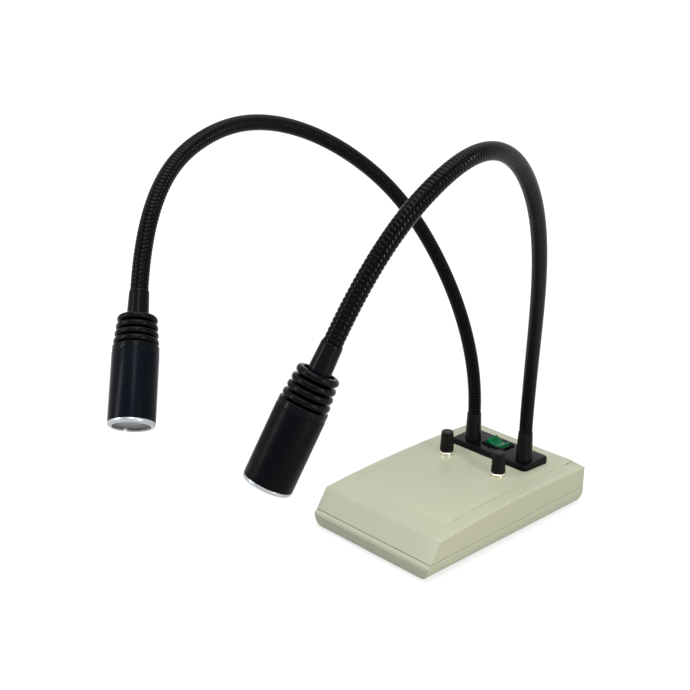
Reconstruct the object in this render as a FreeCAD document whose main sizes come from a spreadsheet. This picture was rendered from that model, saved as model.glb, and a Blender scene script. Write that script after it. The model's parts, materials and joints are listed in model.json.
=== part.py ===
import FreeCAD, Part
import math
import os
import re
import Sketcher

# Bench illuminator with two lamp heads on long flexible necks.
# Frame: origin on the desk under the middle of the case, +X right, +Y to the rear, +Z up.
# The lamp heads reach out over the front, towards -Y.

Vector = FreeCAD.Vector
SIDES = {"left": -1, "right": 1}

# Driving dimensions in millimetres, or degrees and counts where the meaning says so.
DIMENSIONS = (
    ("pad_thickness", 2.5, "rubber sheet under the case"),
    ("pad_width", 96.0, "rubber sheet, across"),
    ("pad_length", 158.0, "rubber sheet, front to rear"),
    ("pad_shift", -3.0, "rubber sheet's middle, forward of the case's"),
    ("pad_corner", 6.0, "rubber sheet's corner radius"),
    ("case_width", 115.6, "case across the seam"),
    ("case_length", 178.0, "case front to rear"),
    ("wall", 2.5, "case wall thickness"),
    ("front_wall", 3.0, "sloping front wall, measured level"),
    ("lower_height", 12.0, "lower shell, underside to rim"),
    ("front_foot", 2.0, "foot of the lower shell's front, out from the cover's foot"),
    ("front_full", 2.5, "fullest part of the lower shell's front, out from the cover's foot"),
    ("full_height", 6.8, "that fullest part above the underside"),
    ("lip_depth", 2.2, "front lip under the seam, out from the cover's foot"),
    ("lip_height", 2.1, "slope of the front lip, below the seam"),
    ("seam_gap", 0.6, "shadow gap between the shells"),
    ("tongue_height", 2.0, "tongue of the lower shell above its rim"),
    ("tongue_inset", 1.3, "tongue behind the side and rear faces"),
    ("tongue_front_inset", 3.8, "tongue behind the front face"),
    ("tongue_wall", 1.2, "tongue thickness at the front"),
    ("tongue_gap", 0.15, "play round the tongue"),
    ("bottom_radius", 6.5, "rounded lower side and rear edges"),
    ("step_inset", 3.8, "step along the sides and rear of the floor inside"),
    ("step_height", 4.5, "step above the floor inside"),
    ("front_setback", 9.9, "top front edge behind the seam's front"),
    ("front_height", 29.9, "top front edge above the desk"),
    ("rear_height", 32.0, "top rear edge above the desk"),
    ("crown", 2.8, "rise of the top between its two edges"),
    ("top_edge_radius", 1.3, "rounding of the top edges"),
    ("panel_half_width", 46.3, "raised middle of the top, half across"),
    ("panel_front", -61.5, "foot of the raised middle's front ramp"),
    ("panel_ramp", 7.0, "length of that ramp"),
    ("panel_foot_height", 31.05, "foot of that ramp above the desk"),
    ("panel_front_height", 33.0, "top of that ramp above the desk"),
    ("panel_crest_height", 35.6, "middle of the raised middle above the desk"),
    ("panel_rear_height", 32.8, "rear end of the raised middle above the desk"),
    ("backing_height", 30.4, "flat seat under the controls, above the desk"),
    ("backing_half_width", 40.0, "flat seat under the controls, half across"),
    ("backing_length", 62.0, "flat seat under the controls, front to rear"),
    ("backing_y", 42.0, "middle of that seat behind the middle"),
    ("backing_thickness", 1.9, "flat seat under the controls"),
    ("plate_width", 75.4, "black control plate, across"),
    ("plate_length", 30.0, "black control plate, front to rear"),
    ("plate_shift", -1.2, "black control plate, to the left of the middle plane"),
    ("plate_offset", 2.6, "middle of the plate behind the necks' feet"),
    ("plate_seat", 33.9, "floor of the plate's recess above the desk"),
    ("plate_top", 39.8, "top of the plate above the desk"),
    ("plate_corner", 3.5, "plate's corner radius"),
    ("plate_edge", 1.6, "plate's rounded top edge"),
    ("plate_gap", 0.1, "play round the plate in its recess"),
    ("neck_x", 25.8, "neck's foot from the middle plane"),
    ("neck_y", 52.6, "neck's foot behind the middle"),
    ("bush_height", 22.3, "root bush above the plate"),
    ("bush_foot_radius", 6.6, "root bush at the plate"),
    ("bush_top_radius", 5.5, "root bush at the neck"),
    ("bush_bore_radius", 4.6, "bore that holds the neck's end"),
    ("bush_band", 0.8, "upright band at the bush's foot"),
    ("bush_chamfer", 0.45, "chamfer at the bush's top"),
    ("spigot_radius", 4.55, "plain end of the neck in the bush"),
    ("spigot_length", 12.0, "plain end of the neck in the bush"),
    ("nipple_radius", 5.0, "threaded tube through the plate"),
    ("nipple_bore", 3.2, "lead passage of the threaded tube"),
    ("nipple_foot", 21.0, "lower end of the threaded tube above the desk"),
    ("nipple_above", 8.0, "threaded tube inside the bush"),
    ("nut_across", 14.0, "lock nut across its flats"),
    ("nut_thickness", 4.0, "lock nut"),
    ("switch_width", 21.0, "rocker switch flange, across"),
    ("switch_length", 15.0, "rocker switch flange, front to rear"),
    ("switch_cutout_width", 19.0, "rocker switch cut-out, across"),
    ("switch_cutout_length", 13.0, "rocker switch cut-out, front to rear"),
    ("switch_flange", 1.6, "rocker switch flange thickness"),
    ("switch_depth", 16.0, "rocker switch body below the plate's top"),
    ("tab_thickness", 0.8, "switch terminal"),
    ("tab_width", 4.8, "switch terminal"),
    ("tab_length", 8.0, "switch terminal below the switch"),
    ("tab_pitch", 5.0, "from one switch terminal to the next"),
    ("rocker_x", -4.0, "middle of the rocker switch across the plate"),
    ("rocker_y", 57.5, "middle of the rocker switch behind the middle"),
    ("rocker_well_width", 18.6, "well for the rocker, across"),
    ("rocker_well_length", 11.6, "well for the rocker, front to rear"),
    ("rocker_well_depth", 6.4, "well for the rocker"),
    ("rocker_width", 17.0, "rocker, across"),
    ("rocker_length", 11.0, "rocker, front to rear"),
    ("rocker_draft", 1.0, "rocker shorter at its foot than at its shoulder, each end"),
    ("rocker_shoulder", 0.4, "rocker's shoulders above its pivot"),
    ("rocker_lean", 1.9, "rocker shorter at its top than at its shoulder, each end"),
    ("rocker_end_height", 3.9, "rocker's ends above its pivot"),
    ("rocker_dip_height", 1.4, "rocker's hollow above its pivot"),
    ("rocker_below", 2.2, "rocker below its pivot"),
    ("rocker_pivot_drop", 1.6, "rocker's pivot below the flange's top"),
    ("rocker_pin_radius", 0.8, "rocker's pivot pins"),
    ("rocker_pin_gap", 0.05, "running play of those pins"),
    ("rocker_pin_reach", 0.55, "pin beyond the rocker's side"),
    ("rocker_tilt", 10.0, "rocker at rest, degrees, left end up"),
    ("knob_x", 26.0, "dimmer from the middle plane"),
    ("knob_y", 21.0, "dimmer behind the middle"),
    ("dimmer_seat", 35.4, "top of the case at the dimmers above the desk"),
    ("knob_height", 16.0, "dimmer knob"),
    ("knob_foot_radius", 5.5, "dimmer knob at its foot"),
    ("knob_top_radius", 4.7, "dimmer knob at its top"),
    ("knob_edge", 0.9, "dimmer knob's rounded top edge"),
    ("ring_radius", 5.9, "nickel ring nut under the knob"),
    ("ring_play", 0.2, "play round the ring nut in its seat"),
    ("ring_height", 3.4, "nickel ring nut under the knob"),
    ("knob_gap", 0.4, "knob above its ring nut"),
    ("shaft_radius", 3.0, "dimmer shaft"),
    ("shaft_gap", 0.05, "running play of the dimmer shaft"),
    ("shaft_reach", 12.0, "dimmer shaft inside the knob"),
    ("shaft_foot", 5.5, "dimmer shaft below the flat seat"),
    ("shaft_end_gap", 0.5, "end play of the dimmer shaft"),
    ("thread_radius", 3.6, "threaded bushing of the dimmer"),
    ("dimmer_radius", 8.0, "dimmer housing"),
    ("dimmer_depth", 8.0, "dimmer housing"),
    ("screw_x", 42.0, "case screw from the middle plane"),
    ("front_screw_y", -74.0, "front case screws"),
    ("rear_screw_y", 68.0, "rear case screws"),
    ("screw_radius", 1.5, "case screw shank"),
    ("screw_head_radius", 2.8, "case screw head"),
    ("screw_head_height", 2.0, "case screw head"),
    ("screw_sink", 1.0, "case screw heads above the underside"),
    ("head_play", 0.2, "play round the case screw heads"),
    ("screw_length", 17.0, "case screw under its head"),
    ("screw_access", 4.5, "radius of the holes through the rubber sheet"),
    ("post_radius", 4.0, "screw posts"),
    ("post_joint", 17.0, "where lower and upper posts meet, above the desk"),
    ("front_post_top", 28.6, "top of the front posts, inside the roof"),
    ("rear_post_top", 31.6, "top of the rear posts, inside the roof"),
    ("pilot_depth", 5.5, "screw holes in the cover's posts"),
    ("ballast_width", 94.0, "steel ballast, across"),
    ("ballast_length", 92.0, "steel ballast, front to rear"),
    ("ballast_thickness", 7.5, "steel ballast"),
    ("ballast_y", 14.0, "middle of the ballast behind the middle"),
    ("ballast_screw_x", 38.0, "ballast screws from the middle plane"),
    ("ballast_screw_y", 36.0, "ballast screws from the ballast's middle"),
    ("ballast_screw_grip", 1.2, "ballast screws in the floor"),
    ("board_width", 74.0, "driver board, across"),
    ("board_length", 32.0, "driver board, front to rear"),
    ("board_thickness", 1.6, "driver board"),
    ("board_y", -53.0, "middle of the driver board"),
    ("board_height", 8.0, "underside of the driver board above the desk"),
    ("board_screw_x", 33.0, "board screws from the middle plane"),
    ("board_screw_y", 12.5, "board screws from the board's middle"),
    ("board_screw_length", 5.5, "board screws under their heads"),
    ("blind_floor", 1.0, "floor left under the blind screw holes"),
    ("plug_width", 6.0, "lamp plug on the board"),
    ("plug_length", 5.0, "lamp plug on the board"),
    ("plug_height", 4.0, "lamp plug on the board"),
    ("plug_y", 12.0, "lamp plugs behind the board's middle"),
    ("small_screw_radius", 1.25, "board and ballast screw shank"),
    ("small_head_radius", 2.4, "board and ballast screw head"),
    ("small_head_height", 1.6, "board and ballast screw head"),
    ("jack_x", 30.0, "power inlet across the rear"),
    ("jack_z", 21.5, "power inlet above the desk"),
    ("jack_radius", 4.0, "power inlet body through the wall"),
    ("jack_flange_radius", 5.6, "power inlet flange"),
    ("jack_flange", 1.4, "power inlet flange thickness"),
    ("jack_length", 13.0, "power inlet inside the wall's outer face"),
    ("jack_bore", 2.8, "power inlet opening"),
    ("jack_bore_depth", 9.5, "power inlet opening"),
    ("jack_pin", 1.0, "centre pin of the power inlet"),
    ("jack_pin_back", 1.0, "centre pin behind the inlet's face"),
    ("jack_nut", 2.0, "power inlet's nut"),
    ("lead_radius", 1.2, "lamp lead"),
    ("lead_level", 17.0, "level run of the lamp leads above the desk"),
    ("lead_bend", 2.5, "lamp lead bend radius"),
    ("lead_end", 3.0, "lamp lead inside the threaded tube"),
    ("neck_crest", 5.15, "neck over its ribs, radius"),
    ("neck_groove", 4.75, "neck between its ribs, radius"),
    ("neck_bore", 3.2, "neck's bore, radius"),
    ("bend_ribs", 24, "ribs on each bending stretch, count"),
    ("short_link_ribs", 19, "ribs on the first and last stiff stretch, count"),
    ("long_link_ribs", 20, "ribs on the middle stiff stretches, count"),
    ("sleeve_end_radius", 5.6, "sleeve at the neck"),
    ("sleeve_cap_radius", 6.1, "sleeve at the cap"),
    ("sleeve_round", 0.8, "sleeve's rounded end"),
    ("sleeve_length", 24.0, "whole sleeve"),
    ("cap_start", 15.6, "first fin from the neck's end"),
    ("first_fin_thickness", 3.9, "first cooling fin"),
    ("first_fin_round", 1.8, "rounding of its rim"),
    ("fin_thickness", 3.4, "other cooling fins"),
    ("fin_round", 1.4, "rounding of their rims"),
    ("fin_gap", 0.85, "gap between cooling fins"),
    ("first_fin_radius", 11.15, "first cooling fin"),
    ("fin_step", 0.43, "growth of radius from fin to fin"),
    ("fin_core", 7.9, "core between the fins, radius"),
    ("cup_radius", 7.4, "cup in the first fin round the sleeve"),
    ("cup_depth", 1.5, "cup in the first fin round the sleeve"),
    ("collar_radius", 12.85, "collar after the fins"),
    ("collar_length", 3.8, "collar after the fins"),
    ("spigot_cap_radius", 10.4, "threaded end of the cap in the barrel"),
    ("spigot_cap_length", 3.0, "threaded end of the cap in the barrel"),
    ("barrel_radius", 13.0, "lamp barrel"),
    ("barrel_length", 39.0, "lamp barrel"),
    ("barrel_chamfer", 0.4, "chamfers of the barrel"),
    ("bezel_radius", 12.9, "silver bezel"),
    ("bezel_length", 2.2, "silver bezel beyond the barrel"),
    ("bezel_opening", 10.5, "silver bezel's opening, radius"),
    ("bezel_round", 1.4, "rounding of the bezel's outer edge"),
    ("bezel_lip", 1.0, "bezel's lip in front of the lens"),
    ("skirt_radius", 11.5, "bezel's skirt in the barrel"),
    ("skirt_bore", 10.9, "bezel's skirt, inner radius"),
    ("skirt_length", 5.0, "bezel's skirt in the barrel"),
    ("lens_thickness", 2.2, "lens"),
    ("reflector_throat", 3.6, "reflector's hole, radius"),
    ("reflector_mouth", 10.5, "reflector's mouth, outer radius"),
    ("reflector_wall", 0.8, "reflector wall"),
    ("reflector_rim", 1.0, "straight rim of the reflector"),
    ("reflector_gap", 0.2, "reflector in front of the lamp board"),
    ("lens_gap", 0.1, "reflector behind the lens"),
    ("led_board_thickness", 1.6, "lamp board in the head"),
    ("led_radius", 2.5, "light source, radius"),
    ("led_height", 1.8, "light source"),
)

# Routes of the two necks: poles of a cubic curve from the top of the root bush to the lamp head.
NECK_ROUTES = {
    "left": (
        (-25.8, 52.6, 62.1), (-25.8, 52.6, 114.0), (-39.5, 12.0, 215.0), (-53.0, -53.5, 280.0),
        (-56.5, -128.0, 314.0), (-47.0, -197.5, 314.0), (-28.5, -250.0, 286.0), (-1.7, -275.3, 239.0),
    ),
    "right": (
        (25.8, 52.6, 62.1), (25.8, 52.6, 105.5), (83.0, -16.0, 222.0), (121.0, -85.5, 297.5),
        (144.5, -149.5, 329.0), (153.0, -204.0, 319.5), (149.5, -244.0, 284.5), (142.6, -263.2, 244.0),
    ),
}
# Share of a rib's pitch at which each ring stands, and whether it is on the crest.
RIB_RINGS = ((0.0, False), (0.18, True), (0.72, True), (0.90, False))
FIN_COUNT = 4
LINK_COUNT = 4
# Parts on the driver board: name, radius or width, length (none where round), height, place on the board.
BOARD_PARTS = (
    ("coil", 4.5, None, 6.0, 12.0, -3.0),
    ("chip", 6.0, 5.0, 1.6, 8.0, 6.0),
    ("can", 3.0, None, 9.0, 24.0, -4.0),
)
# Share of a rounding's radius by which the middle of its quarter arc stands back from the corner.
ARC_BACK = "(1 - sqrt(0.5))"
# Radius of a screw's socket as a share of its shank's.
SOCKET_SHARE = 0.6

doc = FreeCAD.newDocument("gooseneck_illuminator")
dims = doc.addObject("Spreadsheet::Sheet", "dims")
for row, (alias, amount, meaning) in enumerate(DIMENSIONS, start=1):
    dims.set(f"A{row}", meaning)
    dims.set(f"B{row}", str(amount))
    dims.setAlias(f"B{row}", alias)
doc.recompute()

ALIASES = re.compile(r"\b(" + "|".join(alias for alias, _, _ in DIMENSIONS) + r")\b")
UPRIGHT = FreeCAD.Rotation()
TO_REAR = FreeCAD.Rotation(Vector(1, 0, 0), -90)
subparts = []


def cells(text):
    """Write an expression with the sheet's name in front of each of its aliases."""
    return ALIASES.sub(r"dims.\1", str(text))


def amount_of(text):
    """Return the present value of an expression in the sheet's aliases."""
    return float(dims.evalExpression(cells(text)))


def bind(item, **properties):
    """Bind properties of an object to expressions; a double underscore stands for a dot."""
    for name, text in properties.items():
        item.setExpression(name.replace("__", "."), cells(text))


def place(item, x, y, z, turn=UPRIGHT):
    """Place an object with its position bound to the sheet."""
    item.Placement = FreeCAD.Placement(Vector(), turn)
    bind(item, Placement__Base__x=x, Placement__Base__y=y, Placement__Base__z=z)
    return item


def cylinder(name, radius, height, x="0", y="0", z="0", turn=UPRIGHT):
    """Make a bound cylinder."""
    item = doc.addObject("Part::Cylinder", name)
    bind(item, Radius=radius, Height=height)
    return place(item, x, y, z, turn)


def block(name, width, length, height, x="0", y="0", z="0"):
    """Make a bound box, centred on x and y and standing on z."""
    item = doc.addObject("Part::Box", name)
    bind(item, Length=width, Width=length, Height=height)
    return place(item, f"{x} - ({width}) / 2", f"{y} - ({length}) / 2", z)


def cut(name, base, tool):
    """Cut one object from another."""
    item = doc.addObject("Part::Cut", name)
    item.Base = base
    item.Tool = tool
    return item


def fuse(name, parts):
    """Join objects into one solid."""
    item = doc.addObject("Part::MultiFuse", name)
    item.Shapes = parts
    return item


def group(name, parts):
    """Keep separate solids in one object."""
    item = doc.addObject("Part::Compound", name)
    item.Links = parts
    return item


def keep(item):
    """List an object as a sub-part; its label names its file."""
    subparts.append(item)
    return item


def new_body(name):
    """Start a body."""
    return doc.addObject("PartDesign::Body", name)


def new_sketch(body, name, role, offset="0"):
    """Start a sketch on one of the body's origin planes, moved along the plane's normal."""
    sketch = body.newObject("Sketcher::SketchObject", name)
    plane = next(item for item in body.Origin.OriginFeatures if item.Role == role)
    sketch.AttachmentSupport = [(plane, "")]
    sketch.MapMode = "FlatFace"
    bind(sketch, AttachmentOffset__Base__z=offset)
    return sketch


def pin_point(sketch, index, end, x, y):
    """Fix a sketch point at bound coordinates."""
    for kind, axis, text in (("DistanceX", -2, x), ("DistanceY", -1, y)):
        start = amount_of(text)
        if abs(start) < 1e-9:
            sketch.addConstraint(Sketcher.Constraint("PointOnObject", index, end, axis))
        else:
            number = sketch.addConstraint(Sketcher.Constraint(kind, -1, 1, index, end, start))
            sketch.setExpression(f"Constraints[{number}]", cells(text))


def outline(sketch, points):
    """Draw a closed outline; a point with four values is reached by an arc through the last two."""
    spots = [Vector(amount_of(point[0]), amount_of(point[1]), 0) for point in points]
    edges, forward = [], []
    for index, spot in enumerate(spots):
        following = (index + 1) % len(spots)
        target = points[following]
        if len(target) == 4:
            middle = Vector(amount_of(target[2]), amount_of(target[3]), 0)
            edges.append(Part.Arc(spot, middle, spots[following]))
            forward.append((middle - spot).cross(spots[following] - middle).z > 0)
        else:
            edges.append(Part.LineSegment(spot, spots[following]))
            forward.append(True)
    for edge in edges:
        sketch.addGeometry(edge, False)
    count = len(edges)
    for index in range(count):
        following = (index + 1) % count
        head = 1 if forward[index] else 2
        tail = 3 - head
        next_head = 1 if forward[following] else 2
        sketch.addConstraint(Sketcher.Constraint("Coincident", index, tail, following, next_head))
        pin_point(sketch, index, head, points[index][0], points[index][1])
        if len(points[following]) == 4:
            x, y = points[following][2:]
            through = sketch.addGeometry(Part.Point(Vector(amount_of(x), amount_of(y), 0)), True)
            sketch.addConstraint(Sketcher.Constraint("PointOnObject", through, 1, index))
            pin_point(sketch, through, 1, x, y)
    return sketch


def bend_to(x, height, rim, face, radius, sign):
    """Return an outline point reached by the quarter arc that rounds the corner of a rim and a face."""
    return x, height, f"{rim} - {ARC_BACK} * {radius}", f"{face} {sign} {ARC_BACK} * {radius}"


def rectangle(sketch, width, length, x="0", y="0"):
    """Draw a bound rectangle round a middle point."""
    left, right = f"{x} - ({width}) / 2", f"{x} + ({width}) / 2"
    front, rear = f"{y} - ({length}) / 2", f"{y} + ({length}) / 2"
    return outline(sketch, ((left, front), (right, front), (right, rear), (left, rear)))


def circles(sketch, centres, radius):
    """Draw equal bound circles."""
    for x, y in centres:
        centre = Vector(amount_of(x), amount_of(y), 0)
        number = sketch.addGeometry(Part.Circle(centre, Vector(0, 0, 1), amount_of(radius)), False)
        pin_point(sketch, number, 3, x, y)
        size = sketch.addConstraint(Sketcher.Constraint("Radius", number, amount_of(radius)))
        sketch.setExpression(f"Constraints[{size}]", cells(radius))
    return sketch


def pad(body, sketch, length, symmetric=False):
    """Pad a sketch along its normal."""
    feature = body.newObject("PartDesign::Pad", f"{sketch.Name}_pad")
    feature.Profile = sketch
    feature.SideType = "Symmetric" if symmetric else "One side"
    bind(feature, Length=length)
    doc.recompute()
    return feature


def pocket(body, sketch, length, symmetric=False, along_normal=False):
    """Cut a sketch into the body and make sure that something was cut."""
    before = body.Shape.Volume
    feature = body.newObject("PartDesign::Pocket", f"{sketch.Name}_pocket")
    feature.Profile = sketch
    feature.SideType = "Symmetric" if symmetric else "One side"
    feature.Reversed = along_normal
    bind(feature, Length=length)
    doc.recompute()
    if body.Shape.Volume > before - 1e-3:
        raise RuntimeError(f"{feature.Name} cuts nothing")
    return feature


def turned(name, points):
    """Make a body by turning an outline of radius and height about the vertical axis."""
    body = new_body(name)
    sketch = outline(new_sketch(body, f"{name}_outline", "XZ_Plane"), points)
    feature = body.newObject("PartDesign::Revolution", f"{name}_turn")
    feature.Profile = sketch
    feature.ReferenceAxis = (sketch, ["V_Axis"])
    feature.Angle = 360
    return body


def round_edges(body, radius, wanted):
    """Round the edges of the body that a test on the edge picks."""
    doc.recompute()
    base = body.Tip
    names = [f"Edge{number}" for number, edge in enumerate(base.Shape.Edges, start=1) if wanted(edge)]
    feature = body.newObject("PartDesign::Fillet", f"{base.Name}_round")
    feature.Base = (base, names)
    bind(feature, Radius=radius)
    doc.recompute()
    return feature


def lies_at(edge, **limits):
    """Tell whether an edge's box lies on the given coordinates, such as XMin=0."""
    return all(abs(getattr(edge.BoundBox, name) - value) < 1e-3 for name, value in limits.items())


# Heights and places that several pieces share.
SEAM_LOW = "(pad_thickness + lower_height)"
SEAM_HIGH = f"({SEAM_LOW} + seam_gap)"
FLOOR = "(pad_thickness + wall)"
FRONT = "(-case_length / 2)"
REAR = "(case_length / 2)"
TONGUE_LENGTH = "(case_length - tongue_front_inset - tongue_inset)"
TONGUE_Y = "((tongue_front_inset - tongue_inset) / 2)"
CAVITY_LENGTH = "(case_length - tongue_front_inset - tongue_wall - wall)"
CAVITY_Y = "((tongue_front_inset + tongue_wall - wall) / 2)"
FLOOR_WIDTH = "(case_width - 2 * wall - 2 * step_inset)"
ROOT = "(pad_thickness + wall / 2)"
BLIND = "(pad_thickness + blind_floor)"
CASE_SCREWS = [(f"{sign} * screw_x", y) for y in ("front_screw_y", "rear_screw_y") for sign in (-1, 1)]
NECKS = [(f"{sign} * neck_x", "neck_y") for sign in SIDES.values()]
DIMMERS = [(f"{sign} * knob_x", "knob_y") for sign in SIDES.values()]
PLATE_Y = "(neck_y + plate_offset)"
BORE_FOOT = "(backing_height - wall)"
BORE_DEPTH = "(plate_top - backing_height + wall)"
NUT_TOP = "(dimmer_seat + ring_height)"
BOARD_TOP = "(board_height + board_thickness)"
SWITCH_TOP = "(plate_top + switch_flange)"
PIVOT_Z = f"({SWITCH_TOP} - rocker_pivot_drop)"
BOARD_SCREWS = [
    (f"{i} * board_screw_x", f"board_y + {j} * board_screw_y") for i in (-1, 1) for j in (-1, 1)
]
BALLAST_SCREWS = [
    (f"{i} * ballast_screw_x", f"ballast_y + {j} * ballast_screw_y") for i in (-1, 1) for j in (-1, 1)
]


def base_pad():
    """Rubber sheet that the case stands on, with holes to reach the case screws."""
    body = new_body("base_pad")
    sheet = rectangle(new_sketch(body, "pad_outline", "XY_Plane"), "pad_width", "pad_length", y="pad_shift")
    pad(body, sheet, "pad_thickness")
    round_edges(body, "pad_corner", lambda edge: abs(edge.BoundBox.ZLength - edge.Length) < 1e-6)
    holes = circles(new_sketch(body, "pad_holes", "XY_Plane"), CASE_SCREWS, "screw_access")
    pocket(body, holes, "2 * pad_thickness", symmetric=True)
    keep(body)


def lower_case():
    """Tray with rounded sides and rear, a sloping front lip under the seam, a tongue and screw posts."""
    body = new_body("lower_case")
    side = new_sketch(body, "lower_side", "YZ_Plane")
    outline(side, (
        (f"{FRONT} - front_foot", "pad_thickness"),
        (f"{FRONT} - front_full", "pad_thickness + full_height"),
        (f"{FRONT} - lip_depth", f"{SEAM_LOW} - lip_height"),
        (FRONT, SEAM_LOW),
        (REAR, SEAM_LOW),
        (REAR, "pad_thickness"),
    ))
    pad(body, side, "case_width", symmetric=True)
    bottom, half, rear = amount_of("pad_thickness"), amount_of("case_width / 2"), amount_of(REAR)
    round_edges(body, "bottom_radius", lambda edge: lies_at(edge, ZMax=bottom) and (
        lies_at(edge, XMin=half) or lies_at(edge, XMax=-half) or lies_at(edge, YMin=rear)))
    tongue = new_sketch(body, "tongue", "XY_Plane", SEAM_LOW)
    rectangle(tongue, "case_width - 2 * tongue_inset", TONGUE_LENGTH, y=TONGUE_Y)
    pad(body, tongue, "tongue_height")
    cavity = new_sketch(body, "lower_cavity", "XY_Plane", f"{FLOOR} + step_height")
    rectangle(cavity, "case_width - 2 * wall", CAVITY_LENGTH, y=CAVITY_Y)
    pocket(body, cavity, "lower_height + tongue_height", along_normal=True)
    floor = new_sketch(body, "lower_floor", "XY_Plane", FLOOR)
    rectangle(floor, FLOOR_WIDTH, f"{CAVITY_LENGTH} - step_inset", y=f"{CAVITY_Y} - step_inset / 2")
    pocket(body, floor, "lower_height", along_normal=True)
    channel = new_sketch(body, "front_channel", "YZ_Plane")
    low, high = f"{FLOOR}", f"{SEAM_LOW} - wall"
    near, far = f"{FRONT} - front_full + wall", f"{FRONT} + tongue_front_inset + 2 * tongue_wall"
    outline(channel, ((near, low), (far, low), (far, high), (near, high)))
    pocket(body, channel, FLOOR_WIDTH, symmetric=True)
    posts = circles(new_sketch(body, "lower_posts", "XY_Plane", ROOT), CASE_SCREWS, "post_radius")
    pad(body, posts, f"post_joint - {ROOT}")
    bosses = circles(new_sketch(body, "board_bosses", "XY_Plane", ROOT), BOARD_SCREWS,
                     "2 * small_screw_radius")
    pad(body, bosses, f"board_height - {ROOT}")
    heads = new_sketch(body, "screw_heads", "XY_Plane", "pad_thickness")
    circles(heads, CASE_SCREWS, "screw_head_radius + head_play")
    pocket(body, heads, "screw_sink + screw_head_height", along_normal=True)
    shanks = circles(new_sketch(body, "screw_shanks", "XY_Plane", "pad_thickness"), CASE_SCREWS,
                     "screw_radius")
    pocket(body, shanks, "post_joint", along_normal=True)
    pilots = new_sketch(body, "small_pilots", "XY_Plane", BLIND)
    circles(pilots, BOARD_SCREWS + BALLAST_SCREWS, "small_screw_radius")
    pocket(body, pilots, "board_height", along_normal=True)
    keep(body)


def roof_outline(front, rear, low, drop):
    """Side view of the case's cover, or of its hollow when it is set in and dropped."""
    return (
        (front, low),
        (f"{front} + front_setback", f"front_height - {drop}"),
        (rear, f"rear_height - {drop}",
         "front_setback / 2", f"(front_height + rear_height) / 2 + crown - {drop}"),
        (rear, low),
    )


def upper_case():
    """Cover with a sloping front, a crowned top and a raised middle that carries the controls."""
    body = new_body("upper_case")
    side = outline(new_sketch(body, "upper_side", "YZ_Plane"), roof_outline(FRONT, REAR, SEAM_HIGH, "0"))
    pad(body, side, "case_width", symmetric=True)
    half, rear, front = amount_of("case_width / 2"), amount_of(REAR), amount_of(f"{FRONT} + front_setback")
    top = amount_of("front_height")
    round_edges(body, "top_edge_radius", lambda edge: edge.BoundBox.ZMin > top - 1e-3 and (
        lies_at(edge, XMin=half) or lies_at(edge, XMax=-half)
        or lies_at(edge, YMin=rear) or lies_at(edge, YMax=front)))
    middle = "((panel_front + panel_ramp + case_length / 2) / 2)"
    panel = new_sketch(body, "raised_side", "YZ_Plane")
    outline(panel, (
        ("panel_front", "front_height - wall / 2"),
        ("panel_front", "panel_foot_height"),
        ("panel_front + panel_ramp", "panel_front_height"),
        (f"{REAR} - top_edge_radius", "panel_rear_height", middle, "panel_crest_height"),
        (f"{REAR} - top_edge_radius", "rear_height - wall / 2"),
    ))
    pad(body, panel, "2 * panel_half_width", symmetric=True)
    hollow = new_sketch(body, "upper_hollow", "YZ_Plane")
    outline(hollow, roof_outline(f"({FRONT} + front_wall)", f"{REAR} - wall", SEAM_HIGH, "wall"))
    pocket(body, hollow, "case_width - 2 * wall", symmetric=True)
    groove = new_sketch(body, "tongue_groove", "XY_Plane", SEAM_HIGH)
    groove_width = "case_width - 2 * tongue_inset + 2 * tongue_gap"
    rectangle(groove, groove_width, f"{TONGUE_LENGTH} + 2 * tongue_gap", y=TONGUE_Y)
    pocket(body, groove, "tongue_height - seam_gap + tongue_gap", along_normal=True)
    backing = new_sketch(body, "backing", "XY_Plane", "backing_height")
    rectangle(backing, "2 * backing_half_width", "backing_length", y="backing_y")
    pad(body, backing, "backing_thickness")
    for end in ("front", "rear"):
        spots = [(f"{sign} * screw_x", f"{end}_screw_y") for sign in SIDES.values()]
        posts = circles(new_sketch(body, f"{end}_posts", "XY_Plane", "post_joint"), spots, "post_radius")
        pad(body, posts, f"{end}_post_top - post_joint")
    pilots = circles(new_sketch(body, "upper_pilots", "XY_Plane", "post_joint"), CASE_SCREWS,
                     "screw_radius")
    pocket(body, pilots, "pilot_depth", along_normal=True)
    recess = new_sketch(body, "plate_recess", "XY_Plane", "plate_seat")
    rectangle(recess, "plate_width + 2 * plate_gap", "plate_length + 2 * plate_gap", "plate_shift", PLATE_Y)
    pocket(body, recess, "plate_top - plate_seat", along_normal=True)
    bores = (("neck_holes", NECKS, "nipple_radius"), ("dimmer_holes", DIMMERS, "thread_radius"))
    for name, spots, radius in bores:
        holes = circles(new_sketch(body, name, "XY_Plane", BORE_FOOT), spots, radius)
        pocket(body, holes, BORE_DEPTH, along_normal=True)
    window = new_sketch(body, "switch_window", "XY_Plane", BORE_FOOT)
    rectangle(window, "switch_cutout_width", "switch_cutout_length", "rocker_x", "rocker_y")
    pocket(body, window, BORE_DEPTH, along_normal=True)
    seats = circles(new_sketch(body, "dimmer_seats", "XY_Plane", "dimmer_seat"), DIMMERS,
                    "ring_radius + ring_play")
    pocket(body, seats, "wall", along_normal=True)
    inlet = new_sketch(body, "inlet_hole", "XZ_Plane", f"0 - {REAR} - wall")
    circles(inlet, (("jack_x", "jack_z"),), "jack_radius")
    pocket(body, inlet, "3 * wall", along_normal=True)
    keep(body)


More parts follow.
